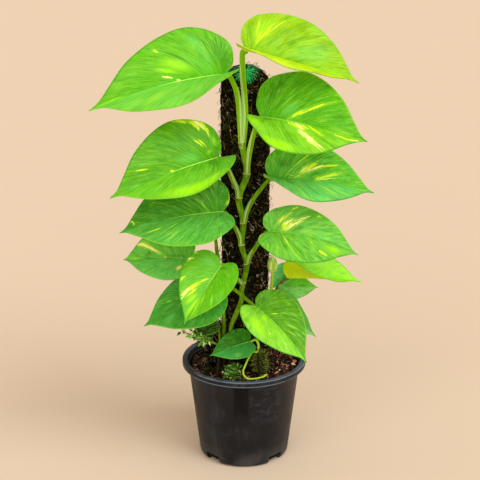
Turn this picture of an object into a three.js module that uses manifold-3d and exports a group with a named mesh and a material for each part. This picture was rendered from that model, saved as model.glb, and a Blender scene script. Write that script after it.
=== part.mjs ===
// A golden pothos trained up a coir pole in a black nursery pot.
// Millimetres, +Z up. The origin is the centre of the pot's underside and the viewer stands at -Y.
import * as THREE from "three";
import { mergeVertices } from "three/addons/utils/BufferGeometryUtils.js";
import Module from "manifold-3d";

const wasm = await Module();
wasm.setup();

// Driving dimensions
const GAP = 0.3; // clear space between two pieces that touch
const POT_HEIGHT = 123.4;
const RIM_RADIUS = 75;
const RIM_BAND = 6.8; // height of the turned-down lip
const MOUTH_RADIUS = 69;
const POT_WALL = 1.6;
const POT_FLOOR = 3;
const POT_SIDES = 48;
const NECK_RADIUS = 67.6; // outside of the wall just under the lip
const FOOT_RADIUS = 53.6; // outside of the wall, drawn down to the table
const CONTACT_RADIUS = 47.5; // where the rounded foot meets the table
const CORNER_HEIGHT = 6;
const NOTCH = { height: 11, turn: 45, width: 21, inner: 44.5 }; // four drainage notches in the foot
const SOIL_TOP = 116;
const SOIL_RISE = 3; // the soil is heaped this much around the pole
const POLE = { x: 1.5, foot: 60, shoulder: 464, dome: 22, low: 26.2, high: 28.2, sides: 30, relief: 0.8 };
const STAKE_RADIUS = 12;
const STAKE_TOP = 462;
const BLADE_THICKNESS = 1.1;
const STALK_STEPS = 7;

// Moss cushions: name, centre and radii. Each is cut flat a quarter of its radius from the bottom.
const MOSS = [
  ["moss_front", 19, -35.5, 130.7, [8.5, 5.5, 16]],
  ["moss_left", -12, -50, 122.7, [7.5, 5, 7]],
];

const GREENS = { bright: 0xa6d62c, fresh: 0x6fb52b, mid: 0x4d9a2a, dark: 0x2f7a2e };

// Half outline of a blade of length 1 and half width 0.4, from the notch round the lobe to the tip
const OUTLINE = [
  [0, 0], [-0.075, 0.1], [-0.08, 0.24], [0.04, 0.355], [0.22, 0.4],
  [0.45, 0.355], [0.67, 0.245], [0.83, 0.11], [0.92, 0.032], [1, 0],
];
const OUTLINE_HALF = 0.4;
const LOBE_VEINS = 0.38; // up to this share of the margin, the veins fan out from the base

// Blades: base and tip, where the face looks (turn from the viewer and height, in degrees), the green, and for
// the left and right half [width as a share of the length, fold, extra fold at the base, droop, skew].
const BLADES = {
  leaf_top_left: {
    base: [-20, -52, 491], tip: [-173, -72, 455], face: [0, 44], tone: "mid",
    left: [0.385, 28, 40, 20, 0], right: [0.375, 30, 5, 30, 0.03], arch: 0.05, side: -0.02, full: 1.07,
  },
  leaf_top_right: {
    base: [1, -46, 518], tip: [126, -80, 489], face: [0, 46], tone: "bright",
    left: [0.39, 30, 0, 30, 0.04], right: [0.31, 52, 20, 20, 0.15], arch: 0.03, full: 0.84,
  },
  leaf_upper_right: {
    base: [18, -56, 443], tip: [135, -108, 430], face: [0, 44], tone: "fresh",
    left: [0.465, 30, 0, 30, 0.03], right: [0.44, 18, 44, 20, 0.2], arch: 0.05, full: 0.88,
  },
  leaf_upper_left: {
    base: [-29, -58, 396], tip: [-149, -112, 366], face: [0, 44], tone: "fresh",
    left: [0.375, 22, 34, 20, 0], right: [0.415, 30, 5, 30, 0.14], arch: 0.05, full: 0.95,
  },
  leaf_mid_right: {
    base: [31, -50, 368], tip: [147, -70, 358], face: [0, 44], tone: "dark",
    left: [0.38, 30, 0, 30, 0.06], right: [0.39, 26, 50, 20, 0.14], arch: 0.05, side: 0.02, full: 0.93,
  },
  leaf_mid_left: {
    base: [-24, -58, 331], tip: [-142, -80, 313], face: [0, 44], tone: "dark",
    left: [0.38, 16, 20, 20, 0.08], right: [0.4, 30, 5, 30, 0], arch: 0.05, side: -0.02, full: 0.9,
  },
  leaf_lower_right: {
    base: [28, -58, 307], tip: [130, -84, 288], face: [0, 44], tone: "mid",
    left: [0.315, 30, 10, 30, 0], right: [0.4, 18, 22, 20, 0.12], arch: 0.06, side: 0.035, full: 0.9,
  },
  leaf_left_behind: {
    base: [-64, -25, 261], tip: [-143, -18, 257], face: [0, 44], tone: "dark",
    left: [0.385, 20, 5, 30, 0], right: [0.46, 30, 5, 30, 0], arch: 0.05, full: 0.83,
  },
  leaf_right_behind: {
    base: [52, -6, 230], tip: [139, -22, 231], face: [0, 72], tone: "bright",
    left: [0.4, 40, 10, 20, 0.2], right: [0.42, 30, 58, 10, 0.2], arch: 0.02,
  },
  leaf_front_left: {
    base: [-26, -64, 268], tip: [-69, -112, 214], face: [0, 40], tone: "bright",
    left: [0.36, 24, 10, 20, 0], right: [0.45, 14, 5, 20, 0], arch: 0.04,
  },
  leaf_low_left: {
    base: [-37, -34, 229], tip: [-118, -56, 188], face: [0, 44], tone: "dark",
    left: [0.46, 16, 5, 20, 0], right: [0.32, 30, 5, 20, 0], arch: 0.05,
  },
  leaf_front_right: {
    base: [13, -62, 216], tip: [72, -112, 166], face: [0, 40], tone: "bright",
    left: [0.38, 16, 5, 20, 0], right: [0.38, 24, 20, 20, 0.06], arch: 0.04, side: 0.04, full: 0.96,
  },
  leaf_front_small: {
    base: [6, -44, 163], tip: [-41, -58, 151], face: [0, 44], tone: "dark",
    left: [0.38, 16, 5, 20, 0], right: [0.38, 20, 5, 20, 0], arch: 0.04,
  },
  leaf_right_small: {
    base: [42, 5, 212], tip: [90, 12, 210], face: [0, 44], tone: "mid",
    left: [0.36, 20, 5, 20, 0], right: [0.38, 20, 5, 20, 0], arch: 0.04,
  },
  leaf_right_low: {
    base: [43, -26, 219], tip: [85, -60, 175], face: [-30, 30], tone: "dark",
    left: [0.32, 55, 5, 20, 0], right: [0.36, 20, 5, 20, 0], arch: 0.04,
  },
  leaf_shaded_small: {
    base: [54, 8, 236.5], tip: [33, 0, 212.5], face: [0, 40], tone: "dark",
    left: [0.38, 20, 5, 20, 0], right: [0.38, 20, 5, 20, 0], arch: 0.04,
  },
  leaf_back_left: {
    base: [-44, -6, 310], tip: [-104, 4, 304], face: [0, 44], tone: "mid",
    left: [0.34, 20, 5, 20, 0], right: [0.34, 20, 5, 20, 0], arch: 0.04,
  },
  leaf_low_left_small: {
    base: [-33, -38, 184], tip: [-63, -46, 172], face: [0, 44], tone: "dark",
    left: [0.36, 20, 5, 20, 0], right: [0.36, 20, 5, 20, 0], arch: 0.04,
  },
};

// Stems and stalks: points from foot to end, and the radius at both ends. A stalk's last stretch runs on under
// the base of its blade.
const VINES = {
  vine_front: {
    stem: {
      points: [
        [-16, -42, 98], [-16, -42, 118], [-16, -40, 140], [-16, -38, 160], [-15, -36, 181], [-11, -35, 191],
        [-7, -34, 201], [-3, -34, 213], [-3, -34, 224], [-1, -34, 235], [3, -34, 258], [-3, -34, 282],
        [-1, -34, 309], [-6, -34, 340], [3, -34, 369], [-3, -34, 408],
      ],
      radius: [2.4, 4], steps: 38,
    },
    nodes: [
      [-1, -34, 235], [3, -34, 258], [-3, -34, 282], [-1, -34, 309], [-6, -34, 340], [3, -34, 369],
      [-3, -34, 407],
    ],
    stalks: {
      leaf_top_left: { points: [[-3, -34, 400], [-5, -36, 433], [-7, -40, 458], [-11, -47, 477]], radius: [3.4, 2.8] },
      leaf_top_right: { points: [[-2, -34, 400], [1, -35, 436], [0, -36, 465], [-2, -39, 495]], radius: [3.6, 3.1] },
      leaf_upper_right: { points: [[3, -34, 366], [4, -36, 383], [7, -40, 402], [11, -45, 421]], radius: [3.5, 2.3] },
      leaf_upper_left: { points: [[-6, -34, 336], [-8, -36, 350], [-13, -41, 364], [-19, -47, 379]], radius: [3.2, 2.3] },
      leaf_mid_right: { points: [[-1, -34, 306], [2, -36, 321], [8, -39, 336], [17, -43, 351]], radius: [3.2, 1.9] },
      leaf_mid_left: { points: [[-3, -34, 279], [-5, -36, 292], [-10, -42, 305], [-16, -48, 318]], radius: [3, 1.8] },
      leaf_lower_right: {
        points: [[3, -34, 255], [6, -36, 267], [12, -42, 280], [20, -49, 295]], radius: [3, 1.8], drop: -0.4,
      },
      leaf_front_left: { points: [[-1, -34, 232], [-6, -40, 239], [-12, -48, 248], [-19, -55, 258]], radius: [2.8, 1.8] },
    },
  },
  vine_left: {
    stem: {
      points: [
        [-24, -37, 98], [-24, -37, 118], [-24, -36, 150], [-24, -36, 180], [-25, -34, 205], [-28, -28, 225],
        [-31, -21, 240], [-31, -17, 256], [-33, -13, 272],
      ],
      radius: [2.4, 2.2], steps: 22,
    },
    nodes: [[-25, -34, 205], [-30, -23, 236], [-31, -17, 256]],
    stalks: {
      leaf_front_right: {
        points: [[-28, -28, 224], [-23, -38, 231], [-14, -44, 231], [-4, -50, 226], [5, -54, 219]], radius: [2.3, 1.8],
      },
      leaf_left_behind: { points: [[-30, -23, 236], [-38, -23, 246], [-50, -22, 253]], radius: [2.2, 1.6] },
      leaf_low_left: { points: [[-25, -34, 203], [-27, -31, 214], [-29.5, -28, 223]], radius: [2.2, 1.6], drop: 0.4 },
      leaf_back_left: { points: [[-32, -15, 264], [-34, -11, 282], [-38, -6, 298]], radius: [2.2, 1.5] },
    },
  },
  vine_right: {
    stem: {
      points: [
        [25, -29, 98], [25, -29, 118], [28, -26, 140], [31, -21, 165], [32, -17, 190], [32, -15, 212],
        [33, -15, 226], [34, -17, 239.9],
      ],
      radius: [2.3, 1.9], steps: 20,
    },
    nodes: [[32, -17, 190], [32, -15, 212]],
    stalks: {
      leaf_right_behind: { points: [[32, -15, 209], [37, -12, 215], [44, -7, 223]], radius: [1.9, 1.5], drop: 0.3 },
      leaf_right_small: { points: [[32, -17, 190], [34, -9, 195], [37, 3, 204]], radius: [1.8, 1.4] },
      leaf_right_low: { points: [[32, -17, 188], [35, -17, 204], [38, -18, 216]], radius: [1.9, 1.4] },
      leaf_shaded_small: {
        points: [[31, -21, 163], [35, -8, 176], [38, 8, 192], [42, 25, 207], [49, 28, 224], [57, 19, 236]],
        radius: [1.8, 1.3], steps: 12,
      },
    },
  },
  shoot_front: {
    stem: { points: [[18, -47, 98], [18, -47, 118], [17, -46, 135], [16, -46, 152]], radius: [2, 1.8], steps: 6 },
    nodes: [],
    stalks: {
      leaf_front_small: { points: [[16, -46, 150], [17, -45, 160], [14, -43, 165]], radius: [1.6, 1.3] },
      runner: {
        points: [
          [16, -46, 150], [11, -49, 152], [6, -53, 147], [2, -58, 140], [-1, -62, 133], [0, -64, 128],
          [5, -65, 124.5], [12, -65, 124.5], [19, -64, 125.5], [27, -61, 128],
        ],
        radius: [1.2, 0.9], steps: 18,
      },
      runner_fork: { points: [[19, -64, 125.5], [23, -65, 127], [27, -66, 131]], radius: [0.9, 0.8], steps: 3 },
    },
  },
  shoot_left: {
    stem: { points: [[-32, -45, 98], [-32, -45, 118], [-30, -44, 140], [-27, -44, 160]], radius: [1.8, 1.5], steps: 6 },
    nodes: [],
    stalks: {
      leaf_low_left_small: { points: [[-28, -44, 155], [-29, -39, 168], [-30, -35.5, 178]], radius: [1.4, 1.2], drop: 0.4 },
      twig: { points: [[-28, -44, 156], [-35, -48, 163], [-43, -50, 168], [-50, -52, 175]], radius: [1.2, 0.9], steps: 6 },
    },
  },
};

// Group, materials and solids
const plant = new THREE.Group();

function solidOf(geometry) {
  const plain = geometry.clone();
  plain.deleteAttribute("normal");
  plain.deleteAttribute("uv");
  const merged = mergeVertices(plain, 1e-4);
  return new wasm.Manifold(
    new wasm.Mesh({
      numProp: 3,
      vertProperties: new Float32Array(merged.attributes.position.array),
      triVerts: new Uint32Array(merged.index.array),
    }),
  );
}

function geometryOf(solid) {
  const mesh = solid.getMesh();
  const geometry = new THREE.BufferGeometry();
  geometry.setAttribute("position", new THREE.BufferAttribute(mesh.vertProperties.slice(), 3));
  geometry.setIndex(new THREE.BufferAttribute(mesh.triVerts.slice(), 1));
  return geometry;
}

function addPiece(name, solid, color, roughness) {
  const mesh = new THREE.Mesh(geometryOf(solid), new THREE.MeshStandardMaterial({ color, roughness, metalness: 0 }));
  mesh.name = name;
  plant.add(mesh);
}

function indexed(points, faces) {
  const geometry = new THREE.BufferGeometry();
  geometry.setAttribute("position", new THREE.Float32BufferAttribute(points.flat(), 3));
  geometry.setIndex(faces.flat());
  return geometry;
}

// Smooth curve through 2D points, at a share from 0 to 1
function splineAt(points, share) {
  const last = points.length - 1;
  const place = Math.min(Math.max(share, 0), 1) * last;
  const i = Math.min(Math.floor(place), last - 1);
  const t = place - i;
  return [0, 1].map((k) => {
    const p1 = points[i][k];
    const p2 = points[i + 1][k];
    const p0 = i > 0 ? points[i - 1][k] : 2 * p1 - p2;
    const p3 = i < last - 1 ? points[i + 2][k] : 2 * p2 - p1;
    const bend = 2 * p0 - 5 * p1 + 4 * p2 - p3;
    const twist = 3 * p1 - p0 - 3 * p2 + p3;
    return 0.5 * (2 * p1 + (p2 - p0) * t + bend * t * t + twist * t * t * t);
  });
}

// Place on the flat blade: a runs along the margin from notch to tip, b out along a vein from the midrib
function flatBlade(a, b) {
  const [marginU, marginV] = splineAt(OUTLINE, a);
  const beyondLobe = Math.max(0, (a - LOBE_VEINS) / (1 - LOBE_VEINS));
  const root = 0.09 * a + 0.91 * beyondLobe ** 1.15;
  const alongVein = 2 * b * (1 - b);
  const u = root + (0.3 * alongVein + b * b) * (marginU - root);
  const v = (0.58 * alongVein + b * b) * marginV;
  return [u, v];
}

function bladeFrame(blade) {
  const base = new THREE.Vector3(...blade.base);
  const along = new THREE.Vector3(...blade.tip).sub(base);
  const length = along.length();
  along.normalize();
  const [turn, height] = blade.face.map(THREE.MathUtils.degToRad);
  const face = new THREE.Vector3(
    Math.sin(turn) * Math.cos(height),
    -Math.cos(turn) * Math.cos(height),
    Math.sin(height),
  );
  const up = face.addScaledVector(along, -face.dot(along)).normalize();
  const left = new THREE.Vector3().crossVectors(up, along);
  return { base, length, along, left, up };
}

// Place in space of a point of the blade: side is 1 on the left half and -1 on the right half
function bladePoint(blade, frame, a, b, side) {
  const [half, foldMid, pinch, droop, skew] = side > 0 ? blade.left : blade.right;
  let [u, v] = flatBlade(a, b);
  u = u > 0 ? u ** (blade.full ?? 1) : u;
  u += skew * v * (1 - Math.min(Math.max(u, 0), 1)) ** 2;
  const share = v / OUTLINE_HALF;
  const fold = THREE.MathUtils.degToRad(foldMid + pinch * (1 - u) ** 2);
  const curl = THREE.MathUtils.degToRad(droop);
  const out = ((Math.sin(fold) - Math.sin(fold - curl * share)) / curl) * half * frame.length * side;
  const rise = ((Math.cos(fold - curl * share) - Math.cos(fold)) / curl) * half * frame.length;
  const bow = 4 * u * (1 - u) * frame.length;
  return frame.base
    .clone()
    .addScaledVector(frame.along, u * frame.length)
    .addScaledVector(frame.left, out + (blade.side ?? 0) * bow)
    .addScaledVector(frame.up, rise + (blade.arch ?? 0) * bow);
}

// Gives a sheet of triangles a thickness, with walls along its open edges
function thicken(points, faces, thickness) {
  const sheet = indexed(points, faces);
  sheet.computeVertexNormals();
  const normal = sheet.attributes.normal;
  const shifted = (offset) =>
    points.map((p, i) => [
      p[0] + offset * normal.getX(i),
      p[1] + offset * normal.getY(i),
      p[2] + offset * normal.getZ(i),
    ]);
  const under = points.length;
  const closed = faces.map((f) => [...f]);
  for (const [p, q, r] of faces) closed.push([under + p, under + r, under + q]);
  const edges = new Set(faces.flatMap(([p, q, r]) => [`${p},${q}`, `${q},${r}`, `${r},${p}`]));
  for (const edge of edges) {
    const [p, q] = edge.split(",").map(Number);
    if (edges.has(`${q},${p}`)) continue;
    closed.push([q, p, under + p], [q, under + p, under + q]);
  }
  return indexed([...shifted(thickness / 2), ...shifted(-thickness / 2)], closed);
}

function bladeSolid(blade) {
  const frame = bladeFrame(blade);
  const [rows, columns] = frame.length > 75 ? [14, 3] : [10, 2];
  const points = [blade.base];
  for (let i = 1; i < rows; i++)
    for (let j = -columns; j <= columns; j++)
      points.push(bladePoint(blade, frame, i / rows, Math.abs(j) / columns, j < 0 ? -1 : 1).toArray());
  points.push(blade.tip);
  const width = 2 * columns + 1;
  const at = (i, j) => 1 + (i - 1) * width + j;
  const tip = points.length - 1;
  const faces = [];
  for (let j = 0; j < width - 1; j++) {
    faces.push([0, at(1, j), at(1, j + 1)]);
    for (let i = 1; i < rows - 1; i++) {
      faces.push([at(i, j), at(i + 1, j), at(i + 1, j + 1)]);
      faces.push([at(i, j), at(i + 1, j + 1), at(i, j + 1)]);
    }
    faces.push([at(rows - 1, j), tip, at(rows - 1, j + 1)]);
  }
  return solidOf(thicken(points, faces, BLADE_THICKNESS));
}

// Round tube along a smooth curve, its radius running from the first value to the second
function tube(points, radius, steps, sides = 7) {
  const curve = new THREE.CatmullRomCurve3(points.map((p) => new THREE.Vector3(...p)));
  const frames = curve.computeFrenetFrames(steps, false);
  const rings = [];
  for (let i = 0; i <= steps; i++) {
    const centre = curve.getPointAt(i / steps);
    const r = THREE.MathUtils.lerp(radius[0], radius[1], i / steps);
    for (let k = 0; k < sides; k++) {
      const angle = (2 * Math.PI * k) / sides;
      const p = centre.clone();
      p.addScaledVector(frames.normals[i], r * Math.cos(angle));
      p.addScaledVector(frames.binormals[i], r * Math.sin(angle));
      rings.push(p.toArray());
    }
  }
  const faces = [];
  for (let i = 0; i < steps; i++)
    for (let k = 0; k < sides; k++) {
      const a = i * sides + k;
      const b = i * sides + ((k + 1) % sides);
      faces.push([a, b, b + sides], [a, b + sides, a + sides]);
    }
  for (let k = 1; k < sides - 1; k++) {
    faces.push([0, k + 1, k]);
    faces.push([steps * sides, steps * sides + k, steps * sides + k + 1]);
  }
  return solidOf(indexed(rings, faces));
}

// Lumpy ball: radii along x, y and z
function mound(centre, radii, columns, rows, relief = 0) {
  const ball = new THREE.SphereGeometry(1, columns, rows);
  const position = ball.attributes.position;
  for (let i = 0; i < position.count; i++) {
    const p = [position.getX(i), position.getY(i), position.getZ(i)];
    const scale = 1 + relief * bumps(9 * p[0], 9 * p[1], 9 * p[2]);
    position.setXYZ(i, ...p.map((value, k) => centre[k] + value * scale * radii[k]));
  }
  return solidOf(ball);
}

function lathe(profile, sides) {
  const geometry = new THREE.LatheGeometry(profile.map(([r, z]) => new THREE.Vector2(r, z)), sides);
  geometry.rotateX(Math.PI / 2);
  return geometry;
}

function upright(radius, from, to, x = 0, y = 0, sides = 32) {
  const geometry = new THREE.CylinderGeometry(radius, radius, to - from, sides);
  geometry.rotateX(Math.PI / 2);
  geometry.translate(x, y, (from + to) / 2);
  return solidOf(geometry);
}

// Small repeatable bumps: a sum of waves that never line up
function bumps(x, y, z) {
  return (
    Math.sin(0.61 * x + 0.37 * z) * Math.sin(0.53 * y - 0.29 * z + 1.3) +
    0.6 * Math.sin(1.27 * x - 0.91 * y + 0.4) * Math.sin(0.83 * z + 1.1 * y)
  );
}

// Pot: thin wall, turned-down lip, rounded foot and four drainage notches
const LIP_FOOT = POT_HEIGHT - RIM_BAND;
const WALL_SLOPE = (NECK_RADIUS - FOOT_RADIUS) / LIP_FOOT;
const wallAt = (z) => FOOT_RADIUS + WALL_SLOPE * z;

function potSolid() {
  const corner = [0, 30, 60, 90].map((turn) => {
    const t = THREE.MathUtils.degToRad(turn);
    const r = CONTACT_RADIUS + (wallAt(CORNER_HEIGHT) - CONTACT_RADIUS) * Math.sin(t);
    return [r, CORNER_HEIGHT * (1 - Math.cos(t))];
  });
  const profile = [
    [0, 0],
    ...corner,
    [NECK_RADIUS, LIP_FOOT],
    [MOUTH_RADIUS + POT_WALL, POT_HEIGHT - POT_WALL],
    [RIM_RADIUS - POT_WALL, POT_HEIGHT - POT_WALL],
    [RIM_RADIUS - POT_WALL, LIP_FOOT],
    [RIM_RADIUS, LIP_FOOT],
    [RIM_RADIUS, POT_HEIGHT - 1],
    [RIM_RADIUS - 1, POT_HEIGHT],
    [MOUTH_RADIUS, POT_HEIGHT],
    [NECK_RADIUS - POT_WALL, LIP_FOOT],
    [wallAt(CORNER_HEIGHT) - POT_WALL, CORNER_HEIGHT],
    [CONTACT_RADIUS, POT_FLOOR],
    [0, POT_FLOOR],
  ];
  let pot = solidOf(lathe(profile, POT_SIDES));
  for (const quarter of [0, 90, 180, 270]) {
    const cutter = new THREE.BoxGeometry(30, NOTCH.width, NOTCH.height);
    cutter.translate(NOTCH.inner + 15, 0, NOTCH.height / 2 - 0.01);
    cutter.rotateZ(THREE.MathUtils.degToRad(NOTCH.turn + quarter));
    pot = pot.subtract(solidOf(cutter));
  }
  return pot;
}

function soilHeight(x, y) {
  const fromPole = Math.hypot(x - POLE.x, y);
  return SOIL_TOP + SOIL_RISE * Math.exp(-((fromPole / 42) ** 2)) + bumps(x, y, 0.5 * (x + y));
}

// Soil: it follows the pot's wall, its top is lumpy, and the pole and stems stand in plain holes
function soilSolid(rings = 7) {
  const points = [[0, 0, soilHeight(0, 0)]];
  const addRing = (radius, height) => {
    for (let k = 0; k < POT_SIDES; k++) {
      const angle = (2 * Math.PI * k) / POT_SIDES;
      const [x, y] = [radius * Math.sin(angle), radius * Math.cos(angle)];
      points.push([x, y, height(x, y)]);
    }
  };
  const reach = wallAt(SOIL_TOP - 2) - POT_WALL - GAP;
  for (let i = 1; i < rings; i++) addRing((i / rings) * reach, soilHeight);
  addRing(reach, () => SOIL_TOP - 2);
  addRing(wallAt(CORNER_HEIGHT) - POT_WALL - GAP, () => CORNER_HEIGHT + GAP);
  addRing(CONTACT_RADIUS - 1, () => POT_FLOOR + GAP);
  points.push([0, 0, POT_FLOOR + GAP]);
  const last = points.length - 1;
  const circles = (last - 1) / POT_SIDES;
  const at = (i, k) => 1 + i * POT_SIDES + (k % POT_SIDES);
  const faces = [];
  for (let k = 0; k < POT_SIDES; k++) {
    faces.push([0, at(0, k + 1), at(0, k)]);
    for (let i = 0; i < circles - 1; i++) {
      faces.push([at(i, k), at(i, k + 1), at(i + 1, k + 1)]);
      faces.push([at(i, k), at(i + 1, k + 1), at(i + 1, k)]);
    }
    faces.push([at(circles - 1, k), at(circles - 1, k + 1), last]);
  }
  let soil = solidOf(indexed(points, faces));
  soil = soil.subtract(upright(POLE.low + 0.9, POLE.foot - GAP, 200, POLE.x));
  soil = soil.subtract(upright(STAKE_RADIUS + GAP, -1, 200, POLE.x));
  for (const vine of Object.values(VINES)) {
    const [x, y, z] = vine.stem.points[0];
    soil = soil.subtract(upright(vine.stem.radius[0] + 0.5, z - GAP, 140, x, y, 12));
  }
  return soil;
}

// Place on the pole's dome, at an angle above its shoulder, lifted off it
function onDome(turn, rise, lift) {
  const steep = Math.hypot(Math.cos(rise) / POLE.high, Math.sin(rise) / POLE.dome);
  const r = Math.cos(rise) * (POLE.high + lift / POLE.high / steep);
  const z = POLE.shoulder + Math.sin(rise) * (POLE.dome + lift / POLE.dome / steep);
  return [POLE.x + r * Math.cos(turn), r * Math.sin(turn), z];
}

// Coir sleeve: a rough tube with a closed, domed top, open below for the stake
function poleSolid(rows = 17) {
  const bore = STAKE_RADIUS + GAP;
  const profile = [[bore, POLE.foot]];
  for (let i = 0; i <= rows; i++) {
    const z = THREE.MathUtils.lerp(POLE.foot, POLE.shoulder, i / rows);
    profile.push([THREE.MathUtils.lerp(POLE.low, POLE.high, i / rows), z]);
  }
  for (const turn of [20, 40, 60, 76, 90]) {
    const t = THREE.MathUtils.degToRad(turn);
    profile.push([turn < 90 ? POLE.high * Math.cos(t) : 0, POLE.shoulder + POLE.dome * Math.sin(t)]);
  }
  profile.push([0, STAKE_TOP + GAP], [bore, STAKE_TOP + GAP], [bore, POLE.foot]);
  const geometry = lathe(profile, POLE.sides);
  const position = geometry.attributes.position;
  for (let i = 0; i < position.count; i++) {
    const [x, y, z] = [position.getX(i), position.getY(i), position.getZ(i)];
    const radius = Math.hypot(x, y);
    if (radius < bore + 3 || z < SOIL_TOP + 6 || z > POLE.shoulder + 1) continue;
    const scale = 1 + (POLE.relief * bumps(x, y, 0.4 * z)) / 1.6 / radius;
    position.setXYZ(i, x * scale, y * scale, z);
  }
  geometry.translate(POLE.x, 0, 0);
  return solidOf(geometry);
}

// Net: a knot on top of the pole, and strands that run down its dome
function netSolid(strands = 10) {
  const lift = 1.6;
  let net = mound([POLE.x, 0, POLE.shoulder + POLE.dome + 2.7], [5.2, 4.8, 2.2], 10, 6);
  for (let k = 0; k < strands; k++) {
    const turn = (2 * Math.PI * (k + 0.35 * Math.sin(2.3 * k))) / strands;
    const low = 18 + 14 * Math.sin(1.7 * k + 0.6) ** 2;
    const rises = [84, 68, 50, low].map(THREE.MathUtils.degToRad);
    const path = rises.map((rise, i) => onDome(turn + 0.12 * i * Math.sin(3.1 * k), rise, lift));
    net = net.add(tube(path, [0.7, 0.6], 5, 4));
  }
  return net.simplify(0.03);
}

const blades = Object.fromEntries(Object.entries(BLADES).map(([name, blade]) => [name, bladeSolid(blade)]));

// The last two points of a stalk: they lie along the underside of the blade's base
function underBase(blade, stalk) {
  const frame = bladeFrame(blade);
  const drop = 0.95 * stalk.radius[1] + BLADE_THICKNESS / 2 + GAP / 2 + (stalk.drop ?? 0);
  return [-2, 3].map((reach) =>
    frame.base.clone().addScaledVector(frame.along, reach).addScaledVector(frame.up, -drop).toArray(),
  );
}

function vineSolid(vine) {
  let solid = tube(vine.stem.points, vine.stem.radius, vine.stem.steps);
  for (const node of vine.nodes) {
    const swell = 1.2 * vine.stem.radius[1];
    solid = solid.add(mound(node, [swell, swell, 2.6], 8, 4));
  }
  for (const [name, stalk] of Object.entries(vine.stalks)) {
    const end = BLADES[name] ? underBase(BLADES[name], stalk) : [];
    solid = solid.add(tube([...stalk.points, ...end], stalk.radius, stalk.steps ?? STALK_STEPS, 6));
  }
  return solid.simplify(0.03);
}

for (const [name, vine] of Object.entries(VINES)) addPiece(name, vineSolid(vine), 0x7fa03a, 0.5);
for (const [name, blade] of Object.entries(blades)) addPiece(name, blade, GREENS[BLADES[name].tone], 0.35);
addPiece("leaf_young", mound([34, -17, 249.5], [5.4, 5, 9.5], 12, 8, 0.06), 0x5fa42c, 0.35);
addPiece("pot", potSolid(), 0x242427, 0.5);
addPiece("soil", soilSolid(), 0x3a2618, 0.95);
addPiece("pole_coir", poleSolid(), 0x3a2c1e, 0.95);
addPiece("pole_stake", upright(STAKE_RADIUS, POT_FLOOR + GAP, STAKE_TOP, POLE.x, 0, 24), 0xb48a5a, 0.7);
addPiece("pole_net", netSolid(), 0x4f9d78, 0.6);
for (const [name, x, y, z, radii] of MOSS) {
  const cushion = mound([x, y, z], radii, 12, 8, 0.07).trimByPlane([0, 0, 1], z - 0.75 * radii[2]);
  addPiece(name, cushion, 0x6f7a2c, 0.95);
}

export default plant;
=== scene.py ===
"""Golden pothos on a coir pole: finer pieces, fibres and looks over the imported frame.
Tables and shapes are in millimetres, as in the part's source; meshes are made in metres.
Colours are screen values of red, green and blue, from 0 to 255."""

import math
from functools import partialmethod

import bpy
import numpy as np
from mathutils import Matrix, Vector
from numpy import arange, array, clip, concatenate, cos, exp, linspace, pi, sin, stack, vstack


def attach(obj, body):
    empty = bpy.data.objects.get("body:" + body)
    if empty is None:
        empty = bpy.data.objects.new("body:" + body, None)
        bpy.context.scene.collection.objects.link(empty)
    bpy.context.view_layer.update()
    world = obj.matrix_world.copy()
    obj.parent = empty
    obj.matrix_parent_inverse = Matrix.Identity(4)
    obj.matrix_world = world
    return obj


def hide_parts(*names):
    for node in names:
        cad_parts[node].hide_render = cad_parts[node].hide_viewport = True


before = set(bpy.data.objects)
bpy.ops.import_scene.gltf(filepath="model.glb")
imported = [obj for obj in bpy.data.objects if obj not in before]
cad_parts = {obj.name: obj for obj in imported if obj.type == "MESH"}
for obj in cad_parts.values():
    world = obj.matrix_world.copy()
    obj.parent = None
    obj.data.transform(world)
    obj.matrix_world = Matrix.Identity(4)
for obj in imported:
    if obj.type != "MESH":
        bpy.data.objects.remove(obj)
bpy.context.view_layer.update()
chance = np.random.default_rng(11)
MM = 0.001
TURN = 2 * pi

# Sizes shared with the part's source
GAP = 0.3
POT_HEIGHT = 123.4
RIM_RADIUS = 75
RIM_BAND = 6.8
MOUTH_RADIUS = 69
POT_WALL = 1.6
POT_FLOOR = 3
NECK_RADIUS = 67.6
FOOT_RADIUS = 53.6
CONTACT_RADIUS = 47.5
CORNER_HEIGHT = 6
LIP_FOOT = POT_HEIGHT - RIM_BAND
NOTCH = dict(height=11, turn=45, width=21, inner=44.5)
SOIL_TOP = 116
SOIL_EDGE = SOIL_TOP - 2
SOIL_RISE = 3
POLE_X = 1.5
POLE_FOOT = 60
SHOULDER = 464
DOME = 22
POLE_LOW = 26.2
POLE_HIGH = 28.2
STAKE_RADIUS = 12
STAKE_TOP = 462
BLADE_THICKNESS = 1.1

# Moss cushions: centre and radii
MOSS = {
    "moss_front": ((19, -35.5, 130.7), (8.5, 5.5, 16)),
    "moss_left": ((-12, -50, 122.7), (7.5, 5, 7)),
}

# Half outline of a blade of length 1 and half width 0.4, from the notch round the lobe to the tip
OUTLINE = [
    (0, 0), (-0.075, 0.1), (-0.08, 0.24), (0.04, 0.355), (0.22, 0.4),
    (0.45, 0.355), (0.67, 0.245), (0.83, 0.11), (0.92, 0.032), (1, 0),
]
OUTLINE_HALF = 0.4
LOBE_VEINS = 0.38


def blade(base, tip, left, right, arch=0.04, side=0, full=1, face=(0, 44)):
    """A leaf blade: base, tip and, for its left and right half, (width as a share of the length, fold, extra
    fold at the base, droop, skew). Then how far it bows up and sideways, a power below 1 that moves its width
    towards the tip, and where its face looks, in degrees."""
    return dict(base=base, tip=tip, left=left, right=right, arch=arch, side=side, full=full, face=face)


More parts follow.
